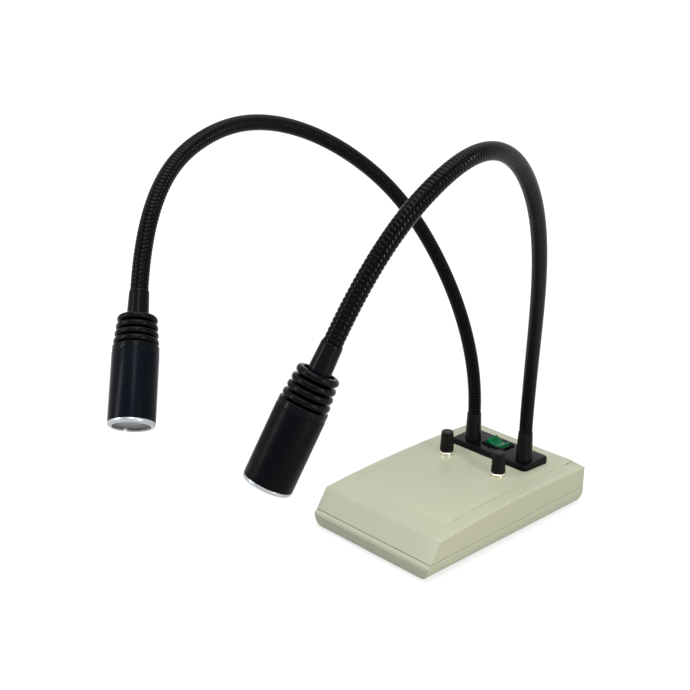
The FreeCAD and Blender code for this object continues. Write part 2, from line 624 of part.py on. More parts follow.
def control_panel():
    """Black plate with rounded edges, pierced for the necks and the switch."""
    body = new_body("control_panel")
    sketch = new_sketch(body, "plate_outline", "XY_Plane", "plate_seat")
    pad(body, rectangle(sketch, "plate_width", "plate_length", "plate_shift", PLATE_Y),
        "plate_top - plate_seat")
    round_edges(body, "plate_corner", lambda edge: abs(edge.BoundBox.ZLength - edge.Length) < 1e-6)
    top = amount_of("plate_top")
    round_edges(body, "plate_edge", lambda edge: lies_at(edge, ZMin=top, ZMax=top))
    holes = circles(new_sketch(body, "plate_holes", "XY_Plane", "plate_seat"), NECKS, "nipple_radius")
    pocket(body, holes, "plate_top - plate_seat", along_normal=True)
    window = new_sketch(body, "plate_window", "XY_Plane", "plate_seat")
    rectangle(window, "switch_cutout_width", "switch_cutout_length", "rocker_x", "rocker_y")
    pocket(body, window, "plate_top - plate_seat", along_normal=True)
    keep(body)


def switch():
    """Rocker switch: flanged body with a well, its terminals, and the tilting rocker."""
    where = {"x": "rocker_x", "y": "rocker_y"}
    flange = block("switch_flange_block", "switch_width", "switch_length", "switch_flange",
                   z="plate_top", **where)
    depth = block("switch_depth_block", "switch_cutout_width", "switch_cutout_length", "switch_depth",
                  z="plate_top - switch_depth", **where)
    well = block("rocker_well", "rocker_well_width", "rocker_well_length", "2 * rocker_well_depth",
                 z=f"{SWITCH_TOP} - rocker_well_depth", **where)
    pin_reach = "(rocker_length / 2 + rocker_pin_reach)"
    hole_reach = f"({pin_reach} + rocker_pin_gap)"
    holes = cylinder("rocker_pin_holes", "rocker_pin_radius + rocker_pin_gap", f"2 * {hole_reach}",
                     "rocker_x", f"rocker_y - {hole_reach}", PIVOT_Z, TO_REAR)
    keep(cut("switch_body", cut("switch_block", fuse("switch_solid", [flange, depth]), well), holes))
    tabs = [
        block(f"switch_tab_{number}", "tab_thickness", "tab_width", "tab_length",
              f"rocker_x + {number - 2} * tab_pitch",
              "rocker_y", "plate_top - switch_depth - tab_length") for number in (1, 2, 3)
    ]
    keep(group("switch_terminals", tabs))

    body = new_body("rocker")
    side = new_sketch(body, "rocker_side", "XZ_Plane")
    outline(side, (
        ("rocker_draft - rocker_width / 2", "-rocker_below"),
        ("rocker_width / 2 - rocker_draft", "-rocker_below"),
        ("rocker_width / 2", "rocker_shoulder"),
        ("rocker_width / 2 - rocker_lean", "rocker_end_height"),
        ("rocker_lean - rocker_width / 2", "rocker_end_height", "0", "rocker_dip_height"),
        ("-rocker_width / 2", "rocker_shoulder"),
    ))
    pad(body, side, "rocker_length", symmetric=True)
    pins = circles(new_sketch(body, "rocker_pins", "XZ_Plane"), (("0", "0"),), "rocker_pin_radius")
    pad(body, pins, f"2 * {pin_reach}", symmetric=True)
    tilt = FreeCAD.Rotation(Vector(0, 1, 0), amount_of("rocker_tilt"))
    keep(place(body, "rocker_x", "rocker_y", PIVOT_Z, tilt))


def dimmers():
    """Two dimmers: housings and ring nuts on the case, shafts and knobs that turn."""
    housings, rings = [], []
    foot = f"({NUT_TOP} + knob_gap)"
    for side, (x, y) in zip(SIDES, DIMMERS):
        can = cylinder(f"{side}_can", "dimmer_radius", "dimmer_depth", x, y,
                       "backing_height - dimmer_depth")
        thread = cylinder(f"{side}_thread", "thread_radius", f"{NUT_TOP} - backing_height", x, y,
                          "backing_height")
        bore_foot = "(backing_height - shaft_foot - shaft_end_gap)"
        bore = cylinder(f"{side}_dimmer_bore", "shaft_radius + shaft_gap", f"{NUT_TOP} - {bore_foot}",
                        x, y, bore_foot)
        housings.append(cut(f"{side}_dimmer", fuse(f"{side}_dimmer_solid", [can, thread]), bore))
        ring = cylinder(f"{side}_ring_disc", "ring_radius", "ring_height", x, y, "dimmer_seat")
        hole = cylinder(f"{side}_ring_hole", "thread_radius", "ring_height", x, y, "dimmer_seat")
        rings.append(cut(f"{side}_ring", ring, hole))
        shaft_length = f"{foot} + shaft_reach - backing_height + shaft_foot"
        keep(cylinder(f"{side}_pot_shaft", "shaft_radius", shaft_length, x, y,
                      "backing_height - shaft_foot"))
        knob = turned(f"{side}_knob", (
            ("shaft_radius", "0"), ("knob_foot_radius", "0"),
            ("knob_top_radius", "knob_height - knob_edge"),
            bend_to("knob_top_radius - knob_edge", "knob_height", "knob_top_radius", "knob_height",
                    "knob_edge", "-"),
            ("0", "knob_height"), ("0", "shaft_reach"), ("shaft_radius", "shaft_reach"),
        ))
        keep(place(knob, x, y, foot))
    keep(group("potentiometers", housings))
    keep(group("knob_nuts", rings))


def screw(name, radius, head_radius, head_height, length, x, y, z, head_up=False):
    """Make a plain screw with a socket in its head; z is the head's outer face."""
    start = f"{z} - {head_height}" if head_up else z
    shank_start = f"{z} - {head_height} - ({length})" if head_up else f"{z} + {head_height}"
    head = cylinder(f"{name}_head", head_radius, head_height, x, y, start)
    shank = cylinder(f"{name}_shank", radius, length, x, y, shank_start)
    socket_start = f"{z} - {head_height} / 2" if head_up else z
    socket = cylinder(f"{name}_socket", f"{radius} * {SOCKET_SHARE}", f"{head_height} / 2", x, y,
                      socket_start)
    return cut(name, fuse(f"{name}_solid", [head, shank]), socket)


def fasteners():
    """Case screws from below, and the screws of the ballast and the driver board."""
    sized = ("screw_radius", "screw_head_radius", "screw_head_height", "screw_length")
    head_face = "pad_thickness + screw_sink"
    keep(group("case_screws", [
        screw(f"case_screw_{number}", *sized, x, y, head_face)
        for number, (x, y) in enumerate(CASE_SCREWS, start=1)
    ]))
    small = ("small_screw_radius", "small_head_radius", "small_head_height")
    board_top = f"{BOARD_TOP} + small_head_height"
    ballast_top = f"{FLOOR} + ballast_thickness + small_head_height"
    inner = [
        screw(f"board_screw_{number}", *small, "board_screw_length", x, y, board_top, head_up=True)
        for number, (x, y) in enumerate(BOARD_SCREWS, start=1)
    ]
    inner += [
        screw(f"ballast_screw_{number}", *small, "ballast_thickness + ballast_screw_grip", x, y,
              ballast_top, head_up=True)
        for number, (x, y) in enumerate(BALLAST_SCREWS, start=1)
    ]
    keep(group("inner_screws", inner))


def inside():
    """Ballast, driver board with its parts, and the power inlet."""
    plate = block("ballast_block", "ballast_width", "ballast_length", "ballast_thickness", y="ballast_y",
                  z=FLOOR)
    holes = group("ballast_holes", [
        cylinder(f"ballast_hole_{number}", "small_screw_radius", "ballast_thickness", x, y, FLOOR)
        for number, (x, y) in enumerate(BALLAST_SCREWS, start=1)
    ])
    keep(cut("ballast_plate", plate, holes))

    board = block("board_block", "board_width", "board_length", "board_thickness", y="board_y",
                  z="board_height")
    holes = group("board_holes", [
        cylinder(f"board_hole_{number}", "small_screw_radius", "board_thickness", x, y, "board_height")
        for number, (x, y) in enumerate(BOARD_SCREWS, start=1)
    ])
    keep(cut("driver_board", board, holes))
    parts = []
    for name, size, length, height, x, y in BOARD_PARTS:
        for side, sign in SIDES.items():
            where = {"x": f"{sign * x}", "y": f"board_y + {y}", "z": BOARD_TOP}
            if length is None:
                parts.append(cylinder(f"board_{name}_{side}", f"{size}", f"{height}", **where))
            else:
                parts.append(block(f"board_{name}_{side}", f"{size}", f"{length}", f"{height}", **where))
    for side, (x, _) in zip(SIDES, NECKS):
        plug = block(f"board_plug_{side}", "plug_width", "plug_length", "plug_height", x,
                     "board_y + plug_y", BOARD_TOP)
        parts.append(plug)
    keep(group("board_parts", parts))

    body = cylinder("inlet_body", "jack_radius", "jack_length", "jack_x", f"{REAR} - jack_length",
                    "jack_z", TO_REAR)
    flange = cylinder("inlet_flange", "jack_flange_radius", "jack_flange", "jack_x", REAR, "jack_z",
                      TO_REAR)
    bore_end = f"({REAR} + jack_flange - jack_bore_depth)"
    bore = cylinder("inlet_bore", "jack_bore", "jack_bore_depth", "jack_x", bore_end, "jack_z", TO_REAR)
    keep(cut("dc_jack", fuse("inlet_solid", [body, flange]), bore))
    pin_length = "jack_bore_depth - jack_pin_back"
    keep(cylinder("dc_jack_pin", "jack_pin", pin_length, "jack_x", bore_end, "jack_z", TO_REAR))
    nut_y = f"{REAR} - wall - jack_nut"
    disc = cylinder("inlet_nut_disc", "jack_flange_radius", "jack_nut", "jack_x", nut_y, "jack_z", TO_REAR)
    hole = cylinder("inlet_nut_hole", "jack_radius", "jack_nut", "jack_x", nut_y, "jack_z", TO_REAR)
    keep(cut("dc_jack_nut", disc, hole))


def neck_roots():
    """Root bushes on the plate, and the threaded tubes and lock nuts that hold them."""
    tubes, nuts = [], []
    for side, (x, y) in zip(SIDES, NECKS):
        bush = turned(f"{side}_root_bush", (
            ("nipple_radius", "0"), ("bush_foot_radius", "0"), ("bush_foot_radius", "bush_band"),
            ("bush_top_radius", "bush_height - bush_chamfer"),
            ("bush_top_radius - bush_chamfer", "bush_height"),
            ("bush_bore_radius", "bush_height"), ("bush_bore_radius", "nipple_above"),
            ("nipple_radius", "nipple_above"),
        ))
        keep(place(bush, x, y, "plate_top"))
        length = "plate_top + nipple_above - nipple_foot"
        tube = cylinder(f"{side}_tube_rod", "nipple_radius", length, x, y, "nipple_foot")
        passage = cylinder(f"{side}_tube_passage", "nipple_bore", length, x, y, "nipple_foot")
        tubes.append(cut(f"{side}_tube", tube, passage))
        nut = doc.addObject("Part::Prism", f"{side}_nut_prism")
        nut.Polygon = 6
        bind(nut, Circumradius="nut_across / 2 / cos(30)", Height="nut_thickness")
        place(nut, x, y, "backing_height - nut_thickness")
        hole = cylinder(f"{side}_nut_hole", "nipple_radius", "nut_thickness", x, y,
                        "backing_height - nut_thickness")
        nuts.append(cut(f"{side}_nut", nut, hole))
    keep(group("neck_nipples", tubes))
    keep(group("neck_lock_nuts", nuts))


def lamp_leads():
    """Lead from the driver board to each threaded tube, as straight runs joined by tangent arcs."""
    radius, bend, level = amount_of("lead_radius"), amount_of("lead_bend"), amount_of("lead_level")
    start = amount_of(f"{BOARD_TOP} + plug_height")
    near, far, end = amount_of("board_y + plug_y"), amount_of("neck_y"), amount_of("nipple_foot + lead_end")
    chord = bend * (1 - math.sqrt(0.5))
    leads = []
    for x, _ in NECKS:
        across = amount_of(x)
        low_start, low_end = Vector(across, near, level - bend), Vector(across, near + bend, level)
        high_start, high_end = Vector(across, far - bend, level), Vector(across, far, level + bend)
        path = Part.Wire([
            Part.LineSegment(Vector(across, near, start), low_start).toShape(),
            Part.Arc(low_start, Vector(across, near + chord, level - chord), low_end).toShape(),
            Part.LineSegment(low_end, high_start).toShape(),
            Part.Arc(high_start, Vector(across, far - chord, level + chord), high_end).toShape(),
            Part.LineSegment(high_end, Vector(across, far, end)).toShape(),
        ])
        ring = Part.Wire([Part.makeCircle(radius, Vector(across, near, start), Vector(0, 0, 1))])
        lead = path.makePipeShell([ring], True, False)
        if lead.Volume < 0:
            lead.reverse()
        plain = math.pi * radius ** 2 * path.Length
        print(f"lead volume against section times length: {lead.Volume / plain:.4f}")
        leads.append(lead)
    item = doc.addObject("Part::Feature", "lamp_leads")
    item.Shape = Part.makeCompound(leads)
    item.Placement = FreeCAD.Placement()
    keep(item)


class NeckRoute:
    """Centre line of a neck, measured by its length from the root bush."""

    def __init__(self, side):
        self.curve = Part.BSplineCurve()
        self.curve.buildFromPoles([Vector(*pole) for pole in NECK_ROUTES[side]], False, 3)
        self.length = self.curve.length()
        self.rib_total = amount_of("5 * bend_ribs + 2 * short_link_ribs + 2 * long_link_ribs")
        self.pitch = self.length / self.rib_total

    def frame(self, ribs):
        """Return the placement at a number of ribs from the root, with a steady X axis."""
        far = self.curve.FirstParameter
        if ribs > 0:
            far = self.curve.parameterAtDistance(ribs * self.pitch, self.curve.FirstParameter)
        along = self.curve.tangent(far)[0]
        across = Vector(1, 0, 0) - along * along.x
        across.normalize()
        turn = FreeCAD.Rotation(across, along.cross(across), along, "ZXY")
        return FreeCAD.Placement(self.curve.value(far), turn)

    def ring(self, ribs, radius):
        """Return a circle square to the route."""
        circle = Part.makeCircle(radius)
        circle.Placement = self.frame(ribs)
        return Part.Wire([circle])

    def stretch(self, first, count):
        """Return a hollow ribbed stretch of the neck."""
        crest, groove, bore = amount_of("neck_crest"), amount_of("neck_groove"), amount_of("neck_bore")
        outside = [
            self.ring(first + rib + share, crest if on_crest else groove)
            for rib in range(count) for share, on_crest in RIB_RINGS
        ]
        outside.append(self.ring(first + count, groove))
        inside_rings = [self.ring(first + rib, bore) for rib in range(count + 1)]
        return Part.makeLoft(outside, True, True).cut(Part.makeLoft(inside_rings, True, True))


def spigot(route):
    """Plain end of a neck that sits in its root bush, below the first rib."""
    foot = route.frame(0).Base - Vector(0, 0, amount_of("spigot_length"))
    rod = Part.makeCylinder(amount_of("spigot_radius"), amount_of("spigot_length"), foot)
    return rod.cut(Part.makeCylinder(amount_of("neck_bore"), amount_of("spigot_length"), foot))


def necks():
    """Both necks, each as five bending stretches with four stiff stretches between them."""
    routes = {}
    counts = ("bend_ribs", "short_link_ribs", "long_link_ribs")
    bend, short, long = (int(amount_of(name)) for name in counts)
    for side in SIDES:
        route = NeckRoute(side)
        print(f"{side} neck length {route.length:.1f}, pitch {route.pitch:.3f}")
        first = 0
        for number in range(1, LINK_COUNT + 2):
            stretches = [(f"{side}_bend_{number}", bend)]
            if number <= LINK_COUNT:
                stretches.append((f"{side}_link_{number}", short if number in (1, LINK_COUNT) else long))
            for name, count in stretches:
                solid = route.stretch(first, count)
                if first == 0:
                    solid = solid.fuse(spigot(route)).removeSplitter()
                item = doc.addObject("Part::Feature", name)
                item.Shape = solid
                item.Placement = FreeCAD.Placement()
                keep(item)
                first += count
        routes[side] = route
    return routes


def fin_start(number):
    """Return the height of a fin's first face; past the last fin it is where the collar starts."""
    if number == 0:
        return "cap_start"
    return f"(cap_start + first_fin_thickness + fin_gap + {number - 1} * (fin_thickness + fin_gap))"


def finned_cap_outline():
    """Outline of the cooling cap: a cup round the sleeve, fins with rounded rims, and a collar."""
    points = [
        ("sleeve_cap_radius", "sleeve_length"), ("sleeve_cap_radius", "cap_start + cup_depth"),
        ("cup_radius", "cap_start + cup_depth"), ("cup_radius", "cap_start"),
    ]
    for number in range(FIN_COUNT):
        kind = "first_fin" if number == 0 else "fin"
        low, high = fin_start(number), f"({fin_start(number)} + {kind}_thickness)"
        rim, bend = f"first_fin_radius + {number} * fin_step", f"{kind}_round"
        points += [
            (f"{rim} - {bend}", low),
            bend_to(rim, f"{low} + {bend}", rim, low, bend, "+"),
            (rim, f"{high} - {bend}"),
            bend_to(f"{rim} - {bend}", high, rim, high, bend, "-"),
            ("fin_core", high),
            ("fin_core", fin_start(number + 1)),
        ]
    fins_end = fin_start(FIN_COUNT)
    barrel_start = f"{fins_end} + collar_length"
    points += [
        ("collar_radius", fins_end), ("collar_radius", barrel_start),
        ("spigot_cap_radius", barrel_start), ("spigot_cap_radius", f"{barrel_start} + spigot_cap_length"),
        ("neck_bore", f"{barrel_start} + spigot_cap_length"), ("neck_bore", "sleeve_length"),
    ]
    return points


def heads(routes):
    """Both lamp heads, turned pieces on one axis that starts at the neck's end."""
    collar_end = f"({fin_start(FIN_COUNT)} + collar_length)"
    board_start = f"({collar_end} + spigot_cap_length)"
    board_end = f"({board_start} + led_board_thickness)"
    cone_start = f"({board_end} + reflector_gap)"
    barrel_end = f"({collar_end} + barrel_length)"
    bezel_end = f"({barrel_end} + bezel_length)"
    lens_end = f"({bezel_end} - bezel_lip)"
    lens_start = f"({lens_end} - lens_thickness)"
    cone_end = f"({lens_start} - lens_gap)"
    outlines = {
        "sleeve": (
            ("neck_bore", "0"), ("sleeve_end_radius - sleeve_round", "0"),
            bend_to("sleeve_end_radius", "sleeve_round", "sleeve_end_radius", "0", "sleeve_round", "+"),
            ("sleeve_cap_radius", "cap_start"), ("sleeve_cap_radius", "sleeve_length"),
            ("neck_bore", "sleeve_length"),
        ),
        "finned_cap": finned_cap_outline(),
        "barrel": (
            ("barrel_radius - barrel_chamfer", collar_end),
            ("barrel_radius", f"{collar_end} + barrel_chamfer"),
            ("barrel_radius", f"{barrel_end} - barrel_chamfer"),
            ("barrel_radius - barrel_chamfer", barrel_end),
            ("skirt_radius", barrel_end), ("skirt_radius", f"{barrel_end} - skirt_length"),
            ("spigot_cap_radius", f"{barrel_end} - skirt_length"), ("spigot_cap_radius", collar_end),
        ),
        "bezel": (
            ("bezel_radius", barrel_end), ("bezel_radius", f"{bezel_end} - bezel_round"),
            bend_to("bezel_radius - bezel_round", bezel_end, "bezel_radius", bezel_end, "bezel_round", "-"),
            ("bezel_opening", bezel_end), ("bezel_opening", lens_end), ("skirt_bore", lens_end),
            ("skirt_bore", f"{barrel_end} - skirt_length"),
            ("skirt_radius", f"{barrel_end} - skirt_length"),
            ("skirt_radius", barrel_end),
        ),
        "reflector": (
            ("reflector_throat", cone_start), ("reflector_throat + reflector_wall", cone_start),
            ("reflector_mouth", f"{cone_end} - reflector_rim"), ("reflector_mouth", cone_end),
            ("reflector_mouth - reflector_wall", cone_end),
        ),
        "lens": (("0", lens_start), ("skirt_bore", lens_start), ("skirt_bore", lens_end), ("0", lens_end)),
        "led_board": (
            ("0", board_start), ("spigot_cap_radius", board_start), ("spigot_cap_radius", board_end),
            ("0", board_end),
        ),
        "led_emitter": (
            ("0", board_end), ("led_radius", board_end), ("led_radius", f"{board_end} + led_height / 3"),
            ("led_radius / 2", f"{board_end} + led_height"), ("0", f"{board_end} + led_height"),
        ),
    }
    for side, route in routes.items():
        spot = route.frame(route.rib_total)
        for name, points in outlines.items():
            body = turned(f"{side}_{name}", points)
            body.Placement = spot
            keep(body)


def export(folder):
    """Recompute, stop at any failed object or empty shape, and write one file for each sub-part."""
    doc.recompute()
    for item in doc.Objects:
        if "Invalid" in item.State or "Error" in item.State:
            raise RuntimeError(f"{item.Name} is {item.State}")
    os.makedirs(folder, exist_ok=True)
    for item in subparts:
        if item.Shape.isNull() or not item.Shape.isValid():
            raise RuntimeError(f"{item.Label} has no valid shape")
        item.Shape.exportStep(os.path.join(folder, f"{item.Label}.step"))
        print(f"{item.Label}: {len(item.Shape.Solids)} solids, {item.Shape.Volume:.0f} mm3")
    print(f"{len(subparts)} sub-parts")


base_pad()
lower_case()
upper_case()
control_panel()
switch()
dimmers()
fasteners()
inside()
neck_roots()
lamp_leads()
heads(necks())
export("parts")
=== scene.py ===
"""Looks of a twin gooseneck bench illuminator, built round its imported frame.

Everything is in metres, +X right, +Y to the rear, +Z up, with the origin on the desk.
"""

import json
import logging
import math
from contextlib import contextmanager
from dataclasses import dataclass, field
from enum import Enum
from typing import Any, Callable, Iterator, NamedTuple, Sequence

import bmesh
import bpy
from mathutils import Matrix, Vector
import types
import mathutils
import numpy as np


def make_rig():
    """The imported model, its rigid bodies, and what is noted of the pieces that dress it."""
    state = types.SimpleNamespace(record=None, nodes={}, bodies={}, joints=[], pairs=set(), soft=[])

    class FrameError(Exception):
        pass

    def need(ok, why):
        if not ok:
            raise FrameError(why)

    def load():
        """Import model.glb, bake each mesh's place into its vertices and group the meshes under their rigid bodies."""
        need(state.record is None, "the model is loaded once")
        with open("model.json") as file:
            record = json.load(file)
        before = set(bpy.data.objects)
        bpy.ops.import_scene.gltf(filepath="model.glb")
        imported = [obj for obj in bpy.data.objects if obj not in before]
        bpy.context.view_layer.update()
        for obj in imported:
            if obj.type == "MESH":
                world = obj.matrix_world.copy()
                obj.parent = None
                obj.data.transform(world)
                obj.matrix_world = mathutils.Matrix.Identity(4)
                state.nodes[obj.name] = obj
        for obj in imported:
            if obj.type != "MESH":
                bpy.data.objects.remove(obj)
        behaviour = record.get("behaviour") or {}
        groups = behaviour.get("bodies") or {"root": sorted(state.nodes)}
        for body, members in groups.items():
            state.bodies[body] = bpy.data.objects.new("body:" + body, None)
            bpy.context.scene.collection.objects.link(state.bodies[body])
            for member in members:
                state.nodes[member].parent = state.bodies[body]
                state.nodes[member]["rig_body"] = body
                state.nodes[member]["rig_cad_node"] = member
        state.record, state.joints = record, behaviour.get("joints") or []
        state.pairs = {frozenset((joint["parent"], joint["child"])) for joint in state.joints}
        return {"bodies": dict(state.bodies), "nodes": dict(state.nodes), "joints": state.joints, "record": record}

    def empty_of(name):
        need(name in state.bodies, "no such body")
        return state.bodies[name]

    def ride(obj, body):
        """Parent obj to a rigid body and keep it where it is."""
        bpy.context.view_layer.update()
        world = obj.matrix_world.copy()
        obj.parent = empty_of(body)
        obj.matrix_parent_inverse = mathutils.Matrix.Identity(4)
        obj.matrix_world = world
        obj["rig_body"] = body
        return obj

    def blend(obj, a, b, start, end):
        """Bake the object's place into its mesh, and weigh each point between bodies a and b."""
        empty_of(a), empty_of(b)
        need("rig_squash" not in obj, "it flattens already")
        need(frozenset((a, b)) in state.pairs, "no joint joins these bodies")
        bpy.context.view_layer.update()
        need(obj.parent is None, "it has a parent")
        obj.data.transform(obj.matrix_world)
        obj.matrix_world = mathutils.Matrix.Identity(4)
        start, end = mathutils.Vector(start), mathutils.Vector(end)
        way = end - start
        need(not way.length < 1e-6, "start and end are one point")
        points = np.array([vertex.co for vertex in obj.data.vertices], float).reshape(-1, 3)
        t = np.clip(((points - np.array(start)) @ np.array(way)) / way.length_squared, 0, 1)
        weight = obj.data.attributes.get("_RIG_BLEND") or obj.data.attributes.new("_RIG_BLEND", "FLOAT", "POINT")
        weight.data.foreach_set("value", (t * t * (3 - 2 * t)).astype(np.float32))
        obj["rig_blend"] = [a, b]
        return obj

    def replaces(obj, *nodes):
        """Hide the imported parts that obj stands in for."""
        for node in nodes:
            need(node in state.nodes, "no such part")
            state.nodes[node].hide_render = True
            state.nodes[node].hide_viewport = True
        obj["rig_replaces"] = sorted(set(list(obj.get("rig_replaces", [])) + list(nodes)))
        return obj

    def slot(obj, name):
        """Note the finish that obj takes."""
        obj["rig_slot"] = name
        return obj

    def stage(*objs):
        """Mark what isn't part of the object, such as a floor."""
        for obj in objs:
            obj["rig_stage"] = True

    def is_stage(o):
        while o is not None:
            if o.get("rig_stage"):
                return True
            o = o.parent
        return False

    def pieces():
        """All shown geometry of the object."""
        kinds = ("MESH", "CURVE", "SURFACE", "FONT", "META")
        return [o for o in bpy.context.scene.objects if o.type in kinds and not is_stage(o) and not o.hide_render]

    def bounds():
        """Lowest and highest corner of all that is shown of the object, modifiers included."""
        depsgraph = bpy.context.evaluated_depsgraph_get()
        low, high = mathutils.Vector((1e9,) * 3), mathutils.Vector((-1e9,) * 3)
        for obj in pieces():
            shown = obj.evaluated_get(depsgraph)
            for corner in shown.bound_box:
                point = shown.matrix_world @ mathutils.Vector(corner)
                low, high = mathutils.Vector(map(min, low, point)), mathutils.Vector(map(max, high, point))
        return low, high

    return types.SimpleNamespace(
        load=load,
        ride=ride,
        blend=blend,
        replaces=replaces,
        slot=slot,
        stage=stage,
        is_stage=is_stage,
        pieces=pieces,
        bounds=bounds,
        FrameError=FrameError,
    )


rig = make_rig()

MM = 0.001
NEAR = MM / 100
LOG = logging.getLogger("illuminator")
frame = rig.load()
CAD_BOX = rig.bounds()
Colour = tuple[float, float, float]
Point = tuple[float, float, float]


class Side(Enum):
    """The two arms, by the sign of X at their root."""

    LEFT = -1
    RIGHT = 1

    @property
    def word(self) -> str:
        """The side's name as the nodes spell it."""
        return self.name.lower()


class Corner(NamedTuple):
    """A corner of a turned outline: radius, height and the rounding there, in millimetres."""

    radius: float
    height: float
    rounding: float = 0.0


# Shader graphs

class Wire:
    """An output socket that takes part in arithmetic."""

    def __init__(self, graph: "Graph", socket: bpy.types.NodeSocket) -> None:
        """Keep the socket and the graph that it belongs to."""
        self.graph = graph
        self.socket = socket

    def _math(self, operation: str, first: Any, second: Any) -> "Wire":
        """Add a Math node."""
        return self.graph.node("ShaderNodeMath", {"operation": operation}, {0: first, 1: second})

    def __add__(self, other: Any) -> "Wire":
        """Sum."""
        return self._math("ADD", self, other)

    def __radd__(self, other: Any) -> "Wire":
        """Sum, reflected."""
        return self._math("ADD", other, self)

    def __sub__(self, other: Any) -> "Wire":
        """Difference."""
        return self._math("SUBTRACT", self, other)

    def __rsub__(self, other: Any) -> "Wire":
        """Difference, reflected."""
        return self._math("SUBTRACT", other, self)

    def __mul__(self, other: Any) -> "Wire":
        """Product."""
        return self._math("MULTIPLY", self, other)

    def __rmul__(self, other: Any) -> "Wire":
        """Product, reflected."""
        return self._math("MULTIPLY", other, self)

    def __truediv__(self, other: Any) -> "Wire":
        """Quotient."""
        return self._math("DIVIDE", self, other)

    def sine(self) -> "Wire":
        """Sine of an angle in radians."""
        return self._math("SINE", self, 0.0)

    def clamped(self) -> "Wire":
        """Hold between 0 and 1."""
        return self.graph.node("ShaderNodeClamp", {}, {0: self})


class Graph:
    """A material's node tree with one Principled shader."""

    def __init__(self, name: str) -> None:
        """Start an empty tree with a shader and an output.

        Args:
            name: the material's name.
        """
        self.material = bpy.data.materials.new(name)
        self.material.use_nodes = True
        self.tree = self.material.node_tree
        self.tree.nodes.clear()
        self.shader = self.tree.nodes.new("ShaderNodeBsdfPrincipled")
        output = self.tree.nodes.new("ShaderNodeOutputMaterial")
        self.tree.links.new(self.shader.outputs[0], output.inputs["Surface"])
        self.place = self.node("ShaderNodeTexCoord", {}, {}, "Object")

    def node(self, kind: str, settings: dict[str, Any], values: dict[Any, Any], output: Any = 0) -> Wire:
        """Add a node.

        Args:
            kind: the node's type name.
            settings: properties that are set before the inputs; a key "stops" fills a colour ramp.
            values: numbers, colours or wires for the inputs, by name or number.
            output: the output that the result carries.

        Returns:
            The chosen output as a wire.
        """
        made = self.tree.nodes.new(kind)
        for key, value in settings.items():
            if key == "stops":
                ramp = made.color_ramp
                while len(ramp.elements) < len(value):
                    ramp.elements.new(0.5)
                for element, (place, colour) in zip(ramp.elements, value):
                    element.position = place
                    element.color = (*colour, 1.0)
            else:
                setattr(made, key, value)
        for key, value in values.items():
            self.feed(made.inputs[key], value)
        return Wire(self, made.outputs[output])

    def feed(self, socket: bpy.types.NodeSocket, value: Any) -> None:
        """Link a wire to an input, or set the input's own value.

        Args:
            socket: the input.
            value: a wire, a number, a colour or a vector.
        """
        if isinstance(value, Wire):
            self.tree.links.new(value.socket, socket)
        elif socket.type == "RGBA" and len(value) == 3:
            socket.default_value = (*value, 1.0)
        else:
            socket.default_value = value

    def shade(self, **values: Any) -> None:
        """Feed the shader; underscores stand for spaces."""
        for key, value in values.items():
            self.feed(self.shader.inputs[key.replace("_", " ")], value)

    def noise(self, scale: float, detail: float = 4.0, roughness: float = 0.5) -> Wire:
        """Noise between 0 and 1 at a number of features per metre."""
        values = {"Vector": self.place, "Scale": scale, "Detail": detail, "Roughness": roughness}
        return self.node("ShaderNodeTexNoise", {}, values, "Fac")

    def mix(self, share: Any, first: Any, second: Any) -> Wire:
        """Mix two colours.

        Args:
            share: how much of the second there is.
            first: a colour or a wire.
            second: a colour or a wire.

        Returns:
            The mixed colour.
        """
        made = self.tree.nodes.new("ShaderNodeMix")
        made.data_type = "RGBA"
        self.feed(made.inputs["Factor"], share)
        colours = [item for item in made.inputs if item.type == "RGBA"]
        self.feed(colours[0], first)
        self.feed(colours[1], second)
        return Wire(self, next(item for item in made.outputs if item.type == "RGBA"))

    def ramp(self, value: Wire, stops: Sequence[tuple[float, Colour]]) -> Wire:
        """Turn a value into a colour by stops."""
        return self.node("ShaderNodeValToRGB", {"stops": stops}, {"Fac": value}, "Color")

    def bump(self, height: Wire, depth: float, strength: float = 1.0) -> None:
        """Add relief of a depth in metres to the surface.

        Args:
            height: the relief, between 0 and 1 or -1 and 1.
            depth: what a height of 1 stands for, in metres.
            strength: how much of the relief shows.
        """
        chained = self.shader.inputs["Normal"].links
        values: dict[Any, Any] = {"Height": height, "Distance": depth, "Strength": strength}
        if chained:
            values["Normal"] = Wire(self, chained[0].from_socket)
        self.shade(Normal=self.node("ShaderNodeBump", {}, values, "Normal"))

    def around(self, axis: Vector, centre: Vector) -> tuple[Wire, Wire]:
        """Angle about an axis in radians, and distance along it in metres.

        Args:
            axis: the direction of the axis.
            centre: a point on it.

        Returns:
            The angle and the distance.
        """
        turn = Vector((0, 0, 1)).rotation_difference(axis).inverted().to_matrix().to_4x4()
        shift = turn @ Matrix.Translation(-centre)
        moved = self.node("ShaderNodeMapping", {}, {
            "Vector": self.place, "Location": shift.to_translation(), "Rotation": shift.to_euler(),
        }, "Vector")
        parts = self.tree.nodes.new("ShaderNodeSeparateXYZ")
        self.feed(parts.inputs[0], moved)
        across, up, along = (Wire(self, item) for item in parts.outputs)
        return self.node("ShaderNodeMath", {"operation": "ARCTAN2"}, {0: up, 1: across}), along


# Finishes

